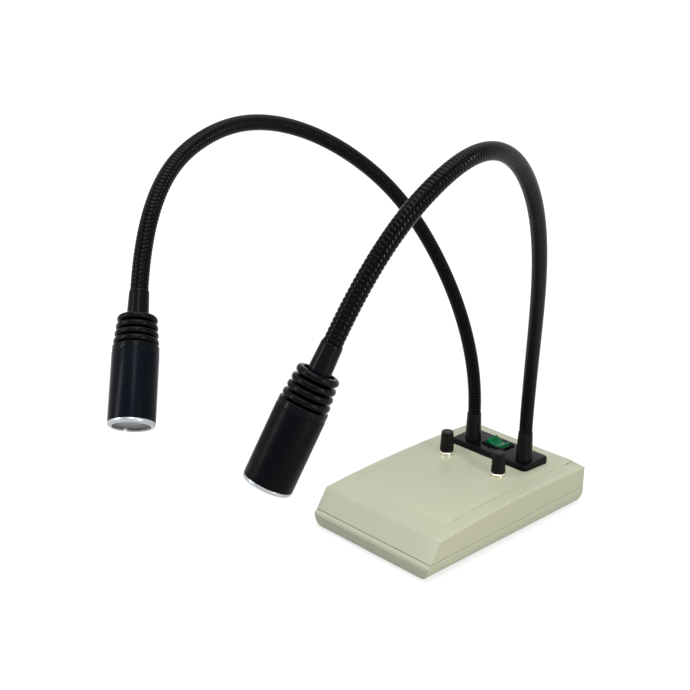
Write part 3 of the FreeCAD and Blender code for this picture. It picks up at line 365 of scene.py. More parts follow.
@dataclass(frozen=True)
class Finish:
    """A plain finish with drifting colour, uneven gloss and a fine grain."""

    name: str
    colour: Colour
    roughness: float = 0.5
    metallic: float = 0.0
    drift: float = 0.06
    drift_scale: float = 40.0
    gloss_drift: float = 0.08
    grain_scale: float = 2500.0
    grain_depth: float = 0.00002
    transmission: float = 0.0
    ior: float = 1.5
    specular: float = 0.5
    # glow and glow_strength are emission; where set, on a part that is no lamp, they are painted glow
    glow: Colour = (0.0, 0.0, 0.0)
    glow_strength: float = 0.0

    def build(self) -> bpy.types.Material:
        """Make the material.

        Returns:
            The material.
        """
        graph = Graph(self.name)
        self.surface(graph)
        self.relief(graph)
        return graph.material

    def surface(self, graph: Graph) -> None:
        """Colour and gloss.

        Args:
            graph: the material's graph.
        """
        cloud = graph.noise(self.drift_scale, 5.0, 0.6)
        dark = tuple(channel * (1 - self.drift) for channel in self.colour)
        light = tuple(min(1.0, channel * (1 + self.drift)) for channel in self.colour)
        graph.shade(
            Base_Color=graph.ramp(cloud, ((0.3, dark), (0.7, light))),
            Roughness=(graph.noise(self.drift_scale * 3, 3.0) - 0.5) * self.gloss_drift * 2 + self.roughness,
            Metallic=self.metallic,
            IOR=self.ior,
            Transmission_Weight=self.transmission,
            Specular_IOR_Level=self.specular,
            Emission_Color=self.glow,
            Emission_Strength=self.glow_strength,
        )

    def relief(self, graph: Graph) -> None:
        """Fine grain."""
        if self.grain_depth:
            graph.bump(graph.noise(self.grain_scale, 2.0), self.grain_depth)


@dataclass(frozen=True)
class MouldedCase(Finish):
    """Satin moulded plastic: spark-eroded grain over faint flow marks."""

    wave_scale: float = 18.0
    wave_depth: float = 0.00025
    wave_strength: float = 0.35

    def relief(self, graph: Graph) -> None:
        """Fine grain over slow waves of the moulding."""
        graph.bump(graph.noise(self.wave_scale, 2.0, 0.4), self.wave_depth, self.wave_strength)
        graph.bump(graph.noise(self.grain_scale, 3.0, 0.7), self.grain_depth)


@dataclass(frozen=True)
class TurnedMetal(Finish):
    """Lathe-turned metal with fine rings about the piece's own axis."""

    axis: Point = (0.0, 0.0, 1.0)
    centre: Point = (0.0, 0.0, 0.0)
    rings: float = 9000.0
    ring_depth: float = 0.000003
    wobble_scale: float = 900.0
    wobble: float = 3.0

    def relief(self, graph: Graph) -> None:
        """Turning marks and grain.

        Args:
            graph: the material's graph.
        """
        _, along = graph.around(Vector(self.axis), Vector(self.centre))
        wobble = graph.noise(self.wobble_scale, 2.0) * self.wobble
        graph.bump((along * self.rings + wobble).sine(), self.ring_depth)
        graph.bump(graph.noise(self.grain_scale, 2.0), self.grain_depth)


@dataclass(frozen=True)
class FacetedReflector(Finish):
    """Metallised cone with narrow facets that break up the reflection."""

    axis: Point = (0.0, 0.0, 1.0)
    centre: Point = (0.0, 0.0, 0.0)
    facets: int = 36
    facet_depth: float = 0.00012
    steps: float = 2400.0
    step_share: float = 0.6

    def relief(self, graph: Graph) -> None:
        """Facets round the cone and steps along it.

        Args:
            graph: the material's graph.
        """
        angle, along = graph.around(Vector(self.axis), Vector(self.centre))
        steps = (along * self.steps).sine() * self.step_share
        graph.bump((angle * self.facets).sine() + steps, self.facet_depth)


# Mesh work

class Bench:
    """Modelling steps, on one object at a time."""

    @staticmethod
    def clear() -> None:
        """Leave edit mode and deselect everything."""
        if bpy.context.object and bpy.context.object.mode != "OBJECT":
            bpy.ops.object.mode_set(mode="OBJECT")
        bpy.ops.object.select_all(action="DESELECT")

    @staticmethod
    def activate(piece: bpy.types.Object) -> None:
        """Make a piece the active object and the only selected one."""
        Bench.clear()
        bpy.context.view_layer.objects.active = piece
        piece.select_set(True)

    @staticmethod
    @contextmanager
    def editing(piece: bpy.types.Object, mode: str = "FACE") -> Iterator[None]:
        """Open a piece in edit mode with nothing selected."""
        Bench.activate(piece)
        bpy.ops.object.mode_set(mode="EDIT")
        bpy.ops.mesh.select_mode(type=mode)
        bpy.ops.mesh.select_all(action="DESELECT")
        yield
        bpy.ops.object.mode_set(mode="OBJECT")

    @staticmethod
    def pick(piece: bpy.types.Object, kind: str, test: Callable[[Any], bool]) -> int:
        """Select the vertices, edges or faces that pass a test, and nothing else.

        Args:
            piece: the object that is being edited.
            kind: "verts", "edges" or "faces".
            test: says whether an element is wanted.

        Returns:
            How many were selected.
        """
        modes = {"verts": "VERT", "edges": "EDGE", "faces": "FACE"}
        bpy.ops.mesh.select_mode(type=modes[kind])
        bpy.ops.mesh.select_all(action="DESELECT")
        mesh = bmesh.from_edit_mesh(piece.data)
        count = 0
        for element in getattr(mesh, kind):
            wanted = test(element)
            element.select_set(wanted)
            count += wanted
        mesh.select_flush_mode()
        bmesh.update_edit_mesh(piece.data)
        return count

    @staticmethod
    def shift(piece: bpy.types.Object, test: Callable[[Any], bool], y: float = 0.0, z: float = 0.0) -> None:
        """Move the vertices that pass a test, if there are any."""
        if Bench.pick(piece, "verts", test):
            bpy.ops.transform.translate(value=(0, y, z))

    @staticmethod
    def bevel(piece: bpy.types.Object, test: Callable[[Any], bool], offset: float, segments: int) -> None:
        """Round the edges that pass a test."""
        Bench.pick(piece, "edges", test)
        bpy.ops.mesh.bevel(offset=offset, segments=segments, affect="EDGES")

    @staticmethod
    def open_side(piece: bpy.types.Object, test: Callable[[Any], bool]) -> None:
        """Delete the faces that pass a test."""
        Bench.pick(piece, "faces", test)
        bpy.ops.mesh.delete(type="FACE")

    @staticmethod
    def block(name: str, low: Point, high: Point) -> bpy.types.Object:
        """Add a box between two corners, its place in its mesh.

        Args:
            name: the piece's name.
            low: its lowest corner.
            high: its highest corner.

        Returns:
            The box.
        """
        Bench.clear()
        middle = [(a + b) / 2 for a, b in zip(low, high)]
        bpy.ops.mesh.primitive_cube_add(size=1.0, location=middle, scale=[b - a for a, b in zip(low, high)])
        return Bench.settle(name)

    @staticmethod
    def settle(name: str) -> bpy.types.Object:
        """Name the active object and put its place into its mesh.

        Args:
            name: the piece's name.

        Returns:
            The object.
        """
        piece = bpy.context.object
        piece.name = name
        piece.data.name = name
        bpy.ops.object.transform_apply(location=True, rotation=True, scale=True)
        return piece

    @staticmethod
    def move_into(piece: bpy.types.Object, placement: Matrix) -> None:
        """Put a placement into the piece's mesh.

        Args:
            piece: the object.
            placement: where it goes.
        """
        Bench.activate(piece)
        piece.matrix_world = placement
        bpy.ops.object.transform_apply(location=True, rotation=True, scale=True)

    @staticmethod
    def modify(piece: bpy.types.Object, kind: str, **settings: Any) -> None:
        """Add a modifier and apply it.

        Args:
            piece: the object.
            kind: the modifier's type.
            settings: its properties.
        """
        Bench.activate(piece)
        modifier = piece.modifiers.new(kind.title(), kind)
        for key, value in settings.items():
            setattr(modifier, key, value)
        bpy.ops.object.modifier_apply(modifier=modifier.name)

    @staticmethod
    def bisect(planes: Sequence[tuple[Point, Point]]) -> None:
        """Cut all faces of the piece being edited by planes, each a point and a normal.

        Args:
            planes: a point and a normal each.
        """
        for point, normal in planes:
            bpy.ops.mesh.select_all(action="SELECT")
            bpy.ops.mesh.bisect(plane_co=point, plane_no=normal)

    @staticmethod
    def trace(name: str, points: Sequence[tuple[float, float]]) -> bpy.types.Object:
        """Draw an open outline in the XZ plane by extruding one vertex from point to point.

        Args:
            name: the piece's name.
            points: the outline, in metres.

        Returns:
            The outline as a piece.
        """
        Bench.clear()
        bpy.ops.mesh.primitive_plane_add(size=MM, location=(0, 0, 0))
        piece = Bench.settle(name)
        with Bench.editing(piece, "VERT"):
            bpy.ops.mesh.select_all(action="SELECT")
            bpy.ops.mesh.merge(type="CENTER")
            bpy.ops.transform.translate(value=(points[0][0], 0, points[0][1]))
            for (x0, z0), (x1, z1) in zip(points, points[1:]):
                bpy.ops.mesh.extrude_region_move(TRANSFORM_OT_translate={"value": (x1 - x0, 0, z1 - z0)})
        return piece

    @staticmethod
    def turned(name: str, corners: Sequence[Corner], steps: int = 96,
               closed: bool = True) -> bpy.types.Object:
        """Turn an outline about the vertical axis.

        Args:
            name: the piece's name.
            corners: the outline, in millimetres.
            steps: how many flats the turn has.
            closed: whether the outline's last corner joins its first.

        Returns:
            The turned piece, standing on the origin.
        """
        points = rounded(corners, closed)
        if closed:
            points.append(points[0])
        piece = Bench.trace(name, points)
        with Bench.editing(piece, "VERT"):
            bpy.ops.mesh.select_all(action="SELECT")
            bpy.ops.mesh.spin(steps=steps, angle=math.tau, center=(0, 0, 0), axis=(0, 0, 1))
            bpy.ops.mesh.select_all(action="SELECT")
            bpy.ops.mesh.remove_doubles(threshold=MM * 0.002)
            bpy.ops.mesh.select_all(action="SELECT")
            bpy.ops.mesh.normals_make_consistent(inside=False)
        return piece


def rounded(corners: Sequence[Corner], closed: bool, steps: int = 5) -> list[tuple[float, float]]:
    """Replace each rounded corner of an outline by points on an arc.

    Args:
        corners: the outline in millimetres.
        closed: whether the last corner joins the first.
        steps: how many flats an arc has.

    Returns:
        Points in metres.
    """
    points = []
    count = len(corners)
    for index, corner in enumerate(corners):
        here = Vector((corner.radius, corner.height)) * MM
        ends = not closed and index in (0, count - 1)
        if ends or not corner.rounding:
            points.append((here.x, here.y))
            continue
        before = (Vector(corners[index - 1][:2]) * MM - here).normalized()
        after = (Vector(corners[(index + 1) % count][:2]) * MM - here).normalized()
        half = math.acos(max(-1.0, min(1.0, before.dot(after)))) / 2
        radius = corner.rounding * MM
        centre = here + (before + after).normalized() * (radius / math.sin(half))
        start = here + before * (radius / math.tan(half)) - centre
        sweep = math.pi - 2 * half
        if start.x * after.y - start.y * after.x < 0:
            sweep = -sweep
        for step in range(steps + 1):
            angle = sweep * step / steps
            turned = (
                start.x * math.cos(angle) - start.y * math.sin(angle),
                start.x * math.sin(angle) + start.y * math.cos(angle),
            )
            points.append((centre.x + turned[0], centre.y + turned[1]))
    return points


def finish_piece(piece: bpy.types.Object, material: bpy.types.Material, slot: str,
                 degrees: float = 35.0) -> None:
    """Shade a piece, give it its material and name the record's slot.

    Args:
        piece: the new piece.
        material: its only material.
        slot: the record's material slot that it takes its finish from.
        degrees: edges sharper than this stay crisp.
    """
    Bench.activate(piece)
    bpy.ops.object.shade_smooth_by_angle(angle=math.radians(degrees))
    piece.data.materials.clear()
    piece.data.materials.append(material)
    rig.slot(piece, slot)
    LOG.info("%s: %d faces", piece.name, len(piece.data.polygons))


@dataclass
class Palette:
    """Every finish of the object, built once."""

    made: dict[str, bpy.types.Material] = field(default_factory=dict)

    def of(self, finish: Finish) -> bpy.types.Material:
        """Return the finish's material, building it at first use.

        Args:
            finish: the finish.

        Returns:
            Its material.
        """
        if finish.name not in self.made:
            self.made[finish.name] = finish.build()
        return self.made[finish.name]


IVORY = MouldedCase("ivory_case", (0.485, 0.495, 0.365), 0.42, drift=0.02, specular=0.3, drift_scale=9.0,
                    gloss_drift=0.04, grain_scale=5200.0, grain_depth=0.000016)
PLATE_BLACK = Finish("plate_black", (0.004, 0.0045, 0.0055), 0.14, drift=0.2, gloss_drift=0.04,
                     grain_scale=1400.0, grain_depth=0.000004, specular=0.08)
SWITCH_BLACK = Finish("switch_black", (0.004, 0.0045, 0.005), 0.3, grain_depth=0.00001, specular=0.08)
# The rocker's faint green emission is painted glow, standing in for bright spots of light on it; the switch holds no
# lamp.
ROCKER_GREEN = Finish("rocker_green", (0.001, 0.125, 0.04), 0.14, drift=0.4, drift_scale=300.0,
                      grain_depth=0.0, specular=0.06, glow=(0.0, 0.5, 0.2), glow_strength=0.03)
KNOB_BLACK = Finish("knob_black", (0.006, 0.006, 0.006), 0.36, grain_depth=0.00001, specular=0.12)
NICKEL = Finish("nickel", (0.80, 0.77, 0.66), 0.2, metallic=1.0, drift=0.05, grain_depth=0.000004)
BUSH_BLACK = Finish("bush_black", (0.004, 0.0045, 0.005), 0.34, grain_depth=0.00001, specular=0.08)
HOSE_BLACK = Finish("hose_black", (0.0008, 0.001, 0.0012), 0.1, drift=0.2, drift_scale=220.0,
                    gloss_drift=0.04, grain_scale=3000.0, grain_depth=0.000001, specular=0.06)
RUBBER = Finish("base_rubber", (0.02, 0.02, 0.021), 0.8, grain_scale=1800.0, grain_depth=0.00006)
STEEL = Finish("plain_steel", (0.5, 0.5, 0.5), 0.35, metallic=1.0, grain_scale=900.0)
ZINC = Finish("zinc_plate", (0.66, 0.67, 0.68), 0.3, metallic=1.0, drift=0.12, drift_scale=300.0)
BRASS = Finish("tinned_brass", (0.72, 0.62, 0.36), 0.3, metallic=1.0)
BOARD_GREEN = Finish("board_green", (0.01, 0.12, 0.05), 0.35, drift=0.2, drift_scale=500.0)
COMPONENT = Finish("component_black", (0.03, 0.03, 0.032), 0.5, drift=0.2)
LEAD = Finish("lead_sheath", (0.02, 0.02, 0.022), 0.5)
PHOSPHOR = Finish("led_phosphor", (0.9, 0.68, 0.2), 0.4, drift=0.1, grain_depth=0.00002)
LENS = Finish("lens_glass", (0.96, 0.98, 0.98), 0.02, drift=0.0, gloss_drift=0.004, grain_depth=0.0,
              transmission=1.0, specular=0.15, ior=1.12)

HIDDEN_FINISHES: dict[Finish, tuple[str, ...]] = {
    RUBBER: ("base_pad",),
    STEEL: ("ballast_plate",),
    ZINC: ("case_screws", "inner_screws", "dc_jack_nut", "dc_jack_pin", "neck_lock_nuts", "potentiometers",
           "left_pot_shaft", "right_pot_shaft"),
    BRASS: ("switch_terminals", "neck_nipples"),
    BOARD_GREEN: ("driver_board", "left_led_board", "right_led_board"),
    COMPONENT: ("board_parts",),
    SWITCH_BLACK: ("dc_jack",),
    LEAD: ("lamp_leads",),
    PHOSPHOR: ("left_led_emitter", "right_led_emitter"),
}


# The object's own sub-assemblies

@dataclass
class Case:
    """Two ivory shells: a tray with rounded lower edges and a crowned cover with a raised middle."""

    half_width: float = 57.8 * MM
    front: float = -89.0 * MM
    rear: float = 89.0 * MM
    bottom: float = 2.5 * MM
    rim: float = 14.5 * MM
    seam: float = 14.8 * MM
    front_setback: float = 9.9 * MM
    front_height: float = 29.9 * MM
    rear_height: float = 32.0 * MM
    crown: float = 2.8 * MM
    top_rounding: float = 1.3 * MM
    ridge_rounding: float = 0.45 * MM
    upright_rounding: float = 0.5 * MM
    panel_half_width: float = 46.3 * MM
    panel_front: float = -61.5 * MM
    panel_ramp: float = 7.0 * MM
    panel_foot_height: float = 31.05 * MM
    panel_front_height: float = 33.0 * MM
    panel_crest_height: float = 35.6 * MM
    panel_rear_height: float = 32.8 * MM
    cover_wall: float = 1.1 * MM
    tray_wall: float = 2.4 * MM
    rim_rounding: float = 0.6 * MM
    lip_rounding: float = 0.4 * MM
    bottom_rounding: float = 6.5 * MM
    rounding_stretch: float = 1.5
    rear_drop: float = 1.8 * MM
    lip_depth: float = 2.2 * MM
    lip_height: float = 2.1 * MM
    front_full: float = 2.5 * MM
    front_foot: float = 2.0 * MM
    full_height: float = 6.8 * MM
    screw_x: float = 42.0 * MM
    screw_rows: tuple[float, float] = (-74.0 * MM, 68.0 * MM)
    screw_bore: float = 3.0 * MM
    tongue_inset: float = 1.3 * MM
    tongue_front_inset: float = 3.8 * MM
    tongue_height: float = 1.9 * MM
    tongue_wall: float = 1.2 * MM
    stations: int = 14

    def top(self, y: float) -> float:
        """Height of the crowned top at a place along the case.

        Args:
            y: the place.

        Returns:
            The height, in metres.
        """
        start = self.front + self.front_setback
        share = (y - start) / (self.rear - start)
        line = self.front_height + (self.rear_height - self.front_height) * share
        return line + 4 * self.crown * share * (1 - share)

    def rise(self, y: float) -> float:
        """How far the raised middle stands above the top at a place along the case.

        Args:
            y: the place.

        Returns:
            The difference, in metres.
        """
        ramp_end = self.panel_front + self.panel_ramp
        if y <= ramp_end:
            share = max(0.0, (y - self.panel_front) / self.panel_ramp)
            height = self.panel_foot_height + (self.panel_front_height - self.panel_foot_height) * share
            return max(0.0, height - self.top(y))
        share = (y - ramp_end) / (self.rear - ramp_end)
        line = self.panel_front_height + (self.panel_rear_height - self.panel_front_height) * share
        crown = self.panel_crest_height - (self.panel_front_height + self.panel_rear_height) / 2
        return line + 4 * crown * share * (1 - share) - self.top(y)

    def cover(self) -> bpy.types.Object:
        """Model the cover from a box cut across at stations along its length."""
        start = self.front + self.front_setback
        low, high = (-self.half_width, self.front, self.seam), (self.half_width, self.rear, self.front_height)
        piece = Bench.block("case_cover", low, high)
        ramp_end = self.panel_front + self.panel_ramp
        step = (self.rear - ramp_end) / self.stations
        places = [(start + self.panel_front) / 2, self.panel_front]
        places += [self.panel_front + self.panel_ramp / 2, ramp_end]
        places += [ramp_end + step * number for number in range(1, self.stations)]
        level = self.front_height
        with Bench.editing(piece):
            Bench.open_side(piece, lambda face: face.normal.z < -0.9)
            Bench.bisect([((0, y, 0), (0, 1, 0)) for y in places])
            Bench.bisect([((sign * self.panel_half_width, 0, 0), (1, 0, 0)) for sign in (-1, 1)])
            Bench.shift(piece, lambda v: v.co.y < self.front + MM and v.co.z > level - MM,
                        y=self.front_setback)
            for y in (*places, self.rear):
                Bench.shift(piece, lambda v: abs(v.co.y - y) < NEAR and v.co.z > level - MM / 10,
                            z=self.top(y) - level)
            Bench.pick(piece, "faces", lambda face: face.normal.z > 0.7
                       and face.calc_center_median().y > self.panel_front
                       and abs(face.calc_center_median().x) < self.panel_half_width + NEAR)
            lift = 20 * MM
            bpy.ops.mesh.extrude_region_move(TRANSFORM_OT_translate={"value": (0, 0, lift)})
            for y in (*places, self.rear):
                Bench.shift(piece, lambda v: abs(v.co.y - y) < NEAR
                            and abs(v.co.z - self.top(y) - lift) < NEAR, z=self.rise(y) - lift)
            bpy.ops.mesh.select_all(action="SELECT")
            bpy.ops.mesh.remove_doubles(threshold=1e-6)
            self.bevel_cover(piece)
        Bench.modify(piece, "SOLIDIFY", thickness=self.cover_wall, offset=-1.0)
        return piece

    def bevel_cover(self, piece: bpy.types.Object) -> None:
        """Round the cover's edges: the raised middle's first, then the outer ones and the uprights."""
        side = self.half_width - NEAR

        def ends(edge: bmesh.types.BMEdge) -> tuple[Vector, Vector]:
            """Return the places of an edge's two vertices."""
            return edge.verts[0].co, edge.verts[1].co

        def outer(edge: bmesh.types.BMEdge) -> bool:
            """Tell whether an edge runs round the outside of the top."""
            a, b = ends(edge)
            if min(a.z, b.z) < self.front_height - MM / 10:
                return False
            at_front = max(a.y, b.y) < self.front + self.front_setback + NEAR
            at_rear = min(a.y, b.y) > self.rear - NEAR and abs(a.x - b.x) > MM
            return min(abs(a.x), abs(b.x)) > side or at_front or at_rear

        def ridge(edge: bmesh.types.BMEdge) -> bool:
            """Tell whether an edge bounds the raised middle at its top."""
            a, b = ends(edge)
            inside = all(abs(abs(end.x) - self.panel_half_width) < NEAR for end in (a, b))
            raised = max(a.z - self.top(a.y), b.z - self.top(b.y)) > MM / 20
            return inside and raised and abs(a.y - b.y) > MM and abs(a.x - b.x) < NEAR

        def upright(edge: bmesh.types.BMEdge) -> bool:
            """Tell whether an edge stands at a corner of the case."""
            a, b = ends(edge)
            tall = abs(a.z - b.z) > 8 * MM and min(a.z, b.z) < self.front_height - 3 * MM
            at_front = max(a.y, b.y) < self.front + self.front_setback + 2 * MM
            at_rear = min(a.y, b.y) > self.rear - 2 * MM
            return min(abs(a.x), abs(b.x)) > side and tall and (at_front or at_rear)

        Bench.bevel(piece, ridge, self.ridge_rounding, 4)
        Bench.bevel(piece, outer, self.top_rounding, 5)
        Bench.bevel(piece, upright, self.upright_rounding, 3)

    def tray(self) -> bpy.types.Object:
        """Model the tray: rounded along the sides and the rear, with a sloping lip in front."""
        low, high = (-self.half_width, self.front, self.bottom), (self.half_width, self.rear, self.rim)
        piece = Bench.block("case_tray", low, high)
        lip, full = self.rim - self.lip_height, self.bottom + self.full_height

        def rounds_under(edge: bmesh.types.BMEdge) -> bool:
            """Tell whether an edge is the bottom one of a side or of the rear."""
            a, b = (vertex.co for vertex in edge.verts)
            at_bottom = max(a.z, b.z) < self.bottom + NEAR
            return at_bottom and (abs(a.x - b.x) < NEAR or min(a.y, b.y) > self.rear - NEAR)

        def outer_rim(edge: bmesh.types.BMEdge) -> bool:
            """Tell whether an edge is the outer one of the rim."""
            a, b = (vertex.co for vertex in edge.verts)
            outward = all(max(abs(end.x) - self.half_width, end.y - self.rear, self.front - end.y) > -NEAR
                          for end in (a, b))
            return min(a.z, b.z) > self.rim - NEAR and outward and (a - b).length > self.tray_wall * 2

        with Bench.editing(piece):
            Bench.open_side(piece, lambda face: face.normal.z > 0.9)
            Bench.bevel(piece, rounds_under, self.bottom_rounding, 9)
            Bench.pick(piece, "verts", lambda v: v.co.z < self.bottom + self.bottom_rounding + NEAR)
            bpy.ops.transform.resize(value=(1.0, 1.0, self.rounding_stretch),
                                     center_override=(0, 0, self.bottom))
            self.deepen_rear(piece)
            Bench.bisect([((0, 0, height), (0, 0, 1)) for height in (lip, full)])
            Bench.shift(piece, lambda v: v.co.y < self.front + NEAR and v.co.z < lip + NEAR,
                        y=-self.lip_depth)
            Bench.shift(piece, lambda v: v.co.y < self.front - NEAR and v.co.z < full + NEAR,
                        y=self.lip_depth - self.front_full)
            foot = self.front - self.front_full
            angle = math.atan2(self.front_full - self.front_foot, self.full_height)
            Bench.pick(piece, "verts", lambda v: v.co.y < foot + NEAR and v.co.z < full - NEAR)
            bpy.ops.transform.rotate(value=-angle, orient_axis="X", center_override=(0, foot, full))
            Bench.bevel(piece, lambda edge: all(v.co.y < self.front - MM for v in edge.verts)
                        and len(edge.link_faces) == 2 and edge.calc_face_angle(0) > 0.35,
                        self.lip_rounding, 3)
        Bench.modify(piece, "SOLIDIFY", thickness=self.tray_wall, offset=-1.0)
        with Bench.editing(piece):
            Bench.bevel(piece, outer_rim, self.rim_rounding, 4)
        for y in self.screw_rows:
            for x in (-self.screw_x, self.screw_x):
                self.bore(piece, x, y)
        tongue = self.tongue()
        Bench.activate(piece)
        tongue.select_set(True)
        bpy.ops.object.join()
        return piece

    def deepen_rear(self, piece: bpy.types.Object) -> None:
        """Let the rear hang deeper: turn each level of the tray about its front end, the lowest the most.

        Args:
            piece: the tray, in edit mode.
        """
        mesh = bmesh.from_edit_mesh(piece.data)
        levels = sorted({round(vertex.co.z, 6) for vertex in mesh.verts if vertex.co.z < self.rim - MM / 10})
        for level in levels:
            share = (self.rim - level) / (self.rim - self.bottom)
            angle = math.atan2(self.rear_drop * share, self.rear - self.front)
            Bench.pick(piece, "verts", lambda v: abs(v.co.z - level) < NEAR / 5)
            bpy.ops.transform.rotate(value=angle, orient_axis="X", center_override=(0, self.front, level))

    def tongue(self) -> bpy.types.Object:
        """Model the tray's tongue, the thin wall behind the seam."""
        side, low = self.half_width - self.tongue_inset, self.rim - MM
        high = self.rim + self.tongue_height
        piece = Bench.block("tray_tongue", (-side, self.front + self.tongue_front_inset, low),
                            (side, self.rear - self.tongue_inset, high))
        with Bench.editing(piece):
            Bench.open_side(piece, lambda face: abs(face.normal.z) > 0.9)
        Bench.modify(piece, "SOLIDIFY", thickness=self.tongue_wall, offset=-1.0)
        return piece

    def bore(self, piece: bpy.types.Object, x: float, y: float) -> None:
        """Cut the hole through the tray's floor for a case screw's head.

        Args:
            piece: the tray.
            x: the screw's place across the case.
            y: its place along the case.
        """
        Bench.clear()
        bpy.ops.mesh.primitive_cylinder_add(vertices=48, radius=self.screw_bore, depth=4 * self.tray_wall,
                                            location=(x, y, self.bottom))
        tool = Bench.settle("screw_bore")
        Bench.modify(piece, "BOOLEAN", operation="DIFFERENCE", object=tool, solver="EXACT")
        bpy.data.objects.remove(tool)

    def build(self, palette: Palette) -> None:
        """Model, dress and attach both shells."""
        for piece, node in ((self.cover(), "upper_case"), (self.tray(), "lower_case")):
            finish_piece(piece, palette.of(IVORY), "case_plastic")
            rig.ride(piece, "base")
            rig.replaces(piece, node)


@dataclass
class ControlPlate:
    """Glossy black plate with rounded corners and edges."""

    left: float = -38.9 * MM
    right: float = 36.5 * MM
    front: float = 40.2 * MM
    rear: float = 70.2 * MM
    foot: float = 33.9 * MM
    top: float = 39.8 * MM
    corner: float = 3.5 * MM
    edge: float = 1.6 * MM

    def build(self, palette: Palette) -> None:
        """Model the plate from a box with two sizes of bevel."""
        low, high = (self.left, self.front, self.foot), (self.right, self.rear, self.top)
        piece = Bench.block("top_plate", low, high)
        with Bench.editing(piece):
            Bench.bevel(piece, lambda edge: abs(edge.verts[0].co.z - edge.verts[1].co.z) > MM, self.corner, 8)
            Bench.bevel(piece, lambda edge: all(v.co.z > self.top - NEAR for v in edge.verts)
                        and any(abs(face.normal.z) < 0.5 for face in edge.link_faces), self.edge, 6)
        finish_piece(piece, palette.of(PLATE_BLACK), "panel_black")
        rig.ride(piece, "base")
        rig.replaces(piece, "control_panel")


@dataclass
class RockerSwitch:
    """Black flanged frame and a green rocker that tilts in it."""

    x: float = -4.0 * MM
    y: float = 57.5 * MM
    plate_top: float = 39.8 * MM
    flange: float = 1.6 * MM
    width: float = 21.0 * MM
    length: float = 15.0 * MM
    opening_width: float = 18.6 * MM
    opening_length: float = 11.6 * MM
    well: float = 6.4 * MM
    depth: float = 10.0 * MM
    rocker_width: float = 17.0 * MM
    rocker_length: float = 11.0 * MM
    end_height: float = 3.9 * MM
    dip_height: float = 1.4 * MM
    shoulder: float = 0.4 * MM
    lean: float = 1.9 * MM
    draft: float = 1.0 * MM
    below: float = 2.2 * MM
    pivot_drop: float = 1.6 * MM
    frame_rounding: float = 0.45 * MM
    rocker_rounding: float = 0.5 * MM
    tilt: float = math.radians(10.0)

    def frame_piece(self) -> bpy.types.Object:
        """Model the flanged frame with its well."""
        top = self.plate_top + self.flange
        low = (self.x - self.width / 2, self.y - self.length / 2, self.plate_top - 0.2 * MM)
        high = (self.x + self.width / 2, self.y + self.length / 2, top)
        piece = Bench.block("rocker_frame", low, high)
        with Bench.editing(piece):
            Bench.pick(piece, "faces", lambda face: face.normal.z > 0.9)
            bpy.ops.mesh.inset(thickness=(self.width - self.opening_width) / 2)
            bpy.ops.transform.resize(
                value=(1.0, self.opening_length / (self.length - self.width + self.opening_width), 1.0),
                center_override=(self.x, self.y, top))
            bpy.ops.mesh.extrude_region_move(TRANSFORM_OT_translate={"value": (0, 0, -self.well)})
            Bench.bevel(piece, lambda edge: all(v.co.z > top - NEAR for v in edge.verts) and edge.is_manifold
                        and edge.calc_face_angle(0) > 1.0, self.frame_rounding, 4)
        return piece

    def rocker(self) -> bpy.types.Object:
        """Model the hollow-topped rocker and tilt it about its pivot."""
        half, across = self.rocker_width / 2, self.rocker_length / 2
        piece = Bench.block("green_rocker", (-half, -across, -self.below), (half, across, self.end_height))
        hollow = self.end_height - self.dip_height
        places = [half * (number / 8 - 1) for number in range(1, 16)]
        with Bench.editing(piece):
            Bench.bisect([((x, 0, 0), (1, 0, 0)) for x in places])
            Bench.bisect([((0, 0, self.shoulder), (0, 0, 1))])
            for x in places:
                Bench.shift(piece, lambda v: abs(v.co.x - x) < NEAR and v.co.z > self.end_height - NEAR,
                            z=-hollow * (1 - (x / half) ** 2))
            Bench.pick(piece, "verts", lambda v: v.co.z > self.shoulder + MM / 2)
            bpy.ops.transform.resize(value=(1 - self.lean / half, 1.0, 1.0), center_override=(0, 0, 0))
            Bench.pick(piece, "verts", lambda v: v.co.z < 0)
            bpy.ops.transform.resize(value=(1 - self.draft / half, 1.0, 1.0), center_override=(0, 0, 0))
            Bench.bevel(piece, lambda edge: edge.calc_face_angle(0) > 0.9, self.rocker_rounding, 4)
        pivot = Vector((self.x, self.y, self.plate_top + self.flange - self.pivot_drop))
        Bench.move_into(piece, Matrix.Translation(pivot) @ Matrix.Rotation(self.tilt, 4, "Y"))
        return piece

    def build(self, palette: Palette) -> None:
        """Model, dress and attach the frame and the rocker."""
        frame_piece, rocker = self.frame_piece(), self.rocker()
        finish_piece(frame_piece, palette.of(SWITCH_BLACK), "switch_black")
        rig.ride(frame_piece, "base")
        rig.replaces(frame_piece, "switch_body")
        finish_piece(rocker, palette.of(ROCKER_GREEN), "rocker_green")
        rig.ride(rocker, "rocker")
        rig.replaces(rocker, "rocker")


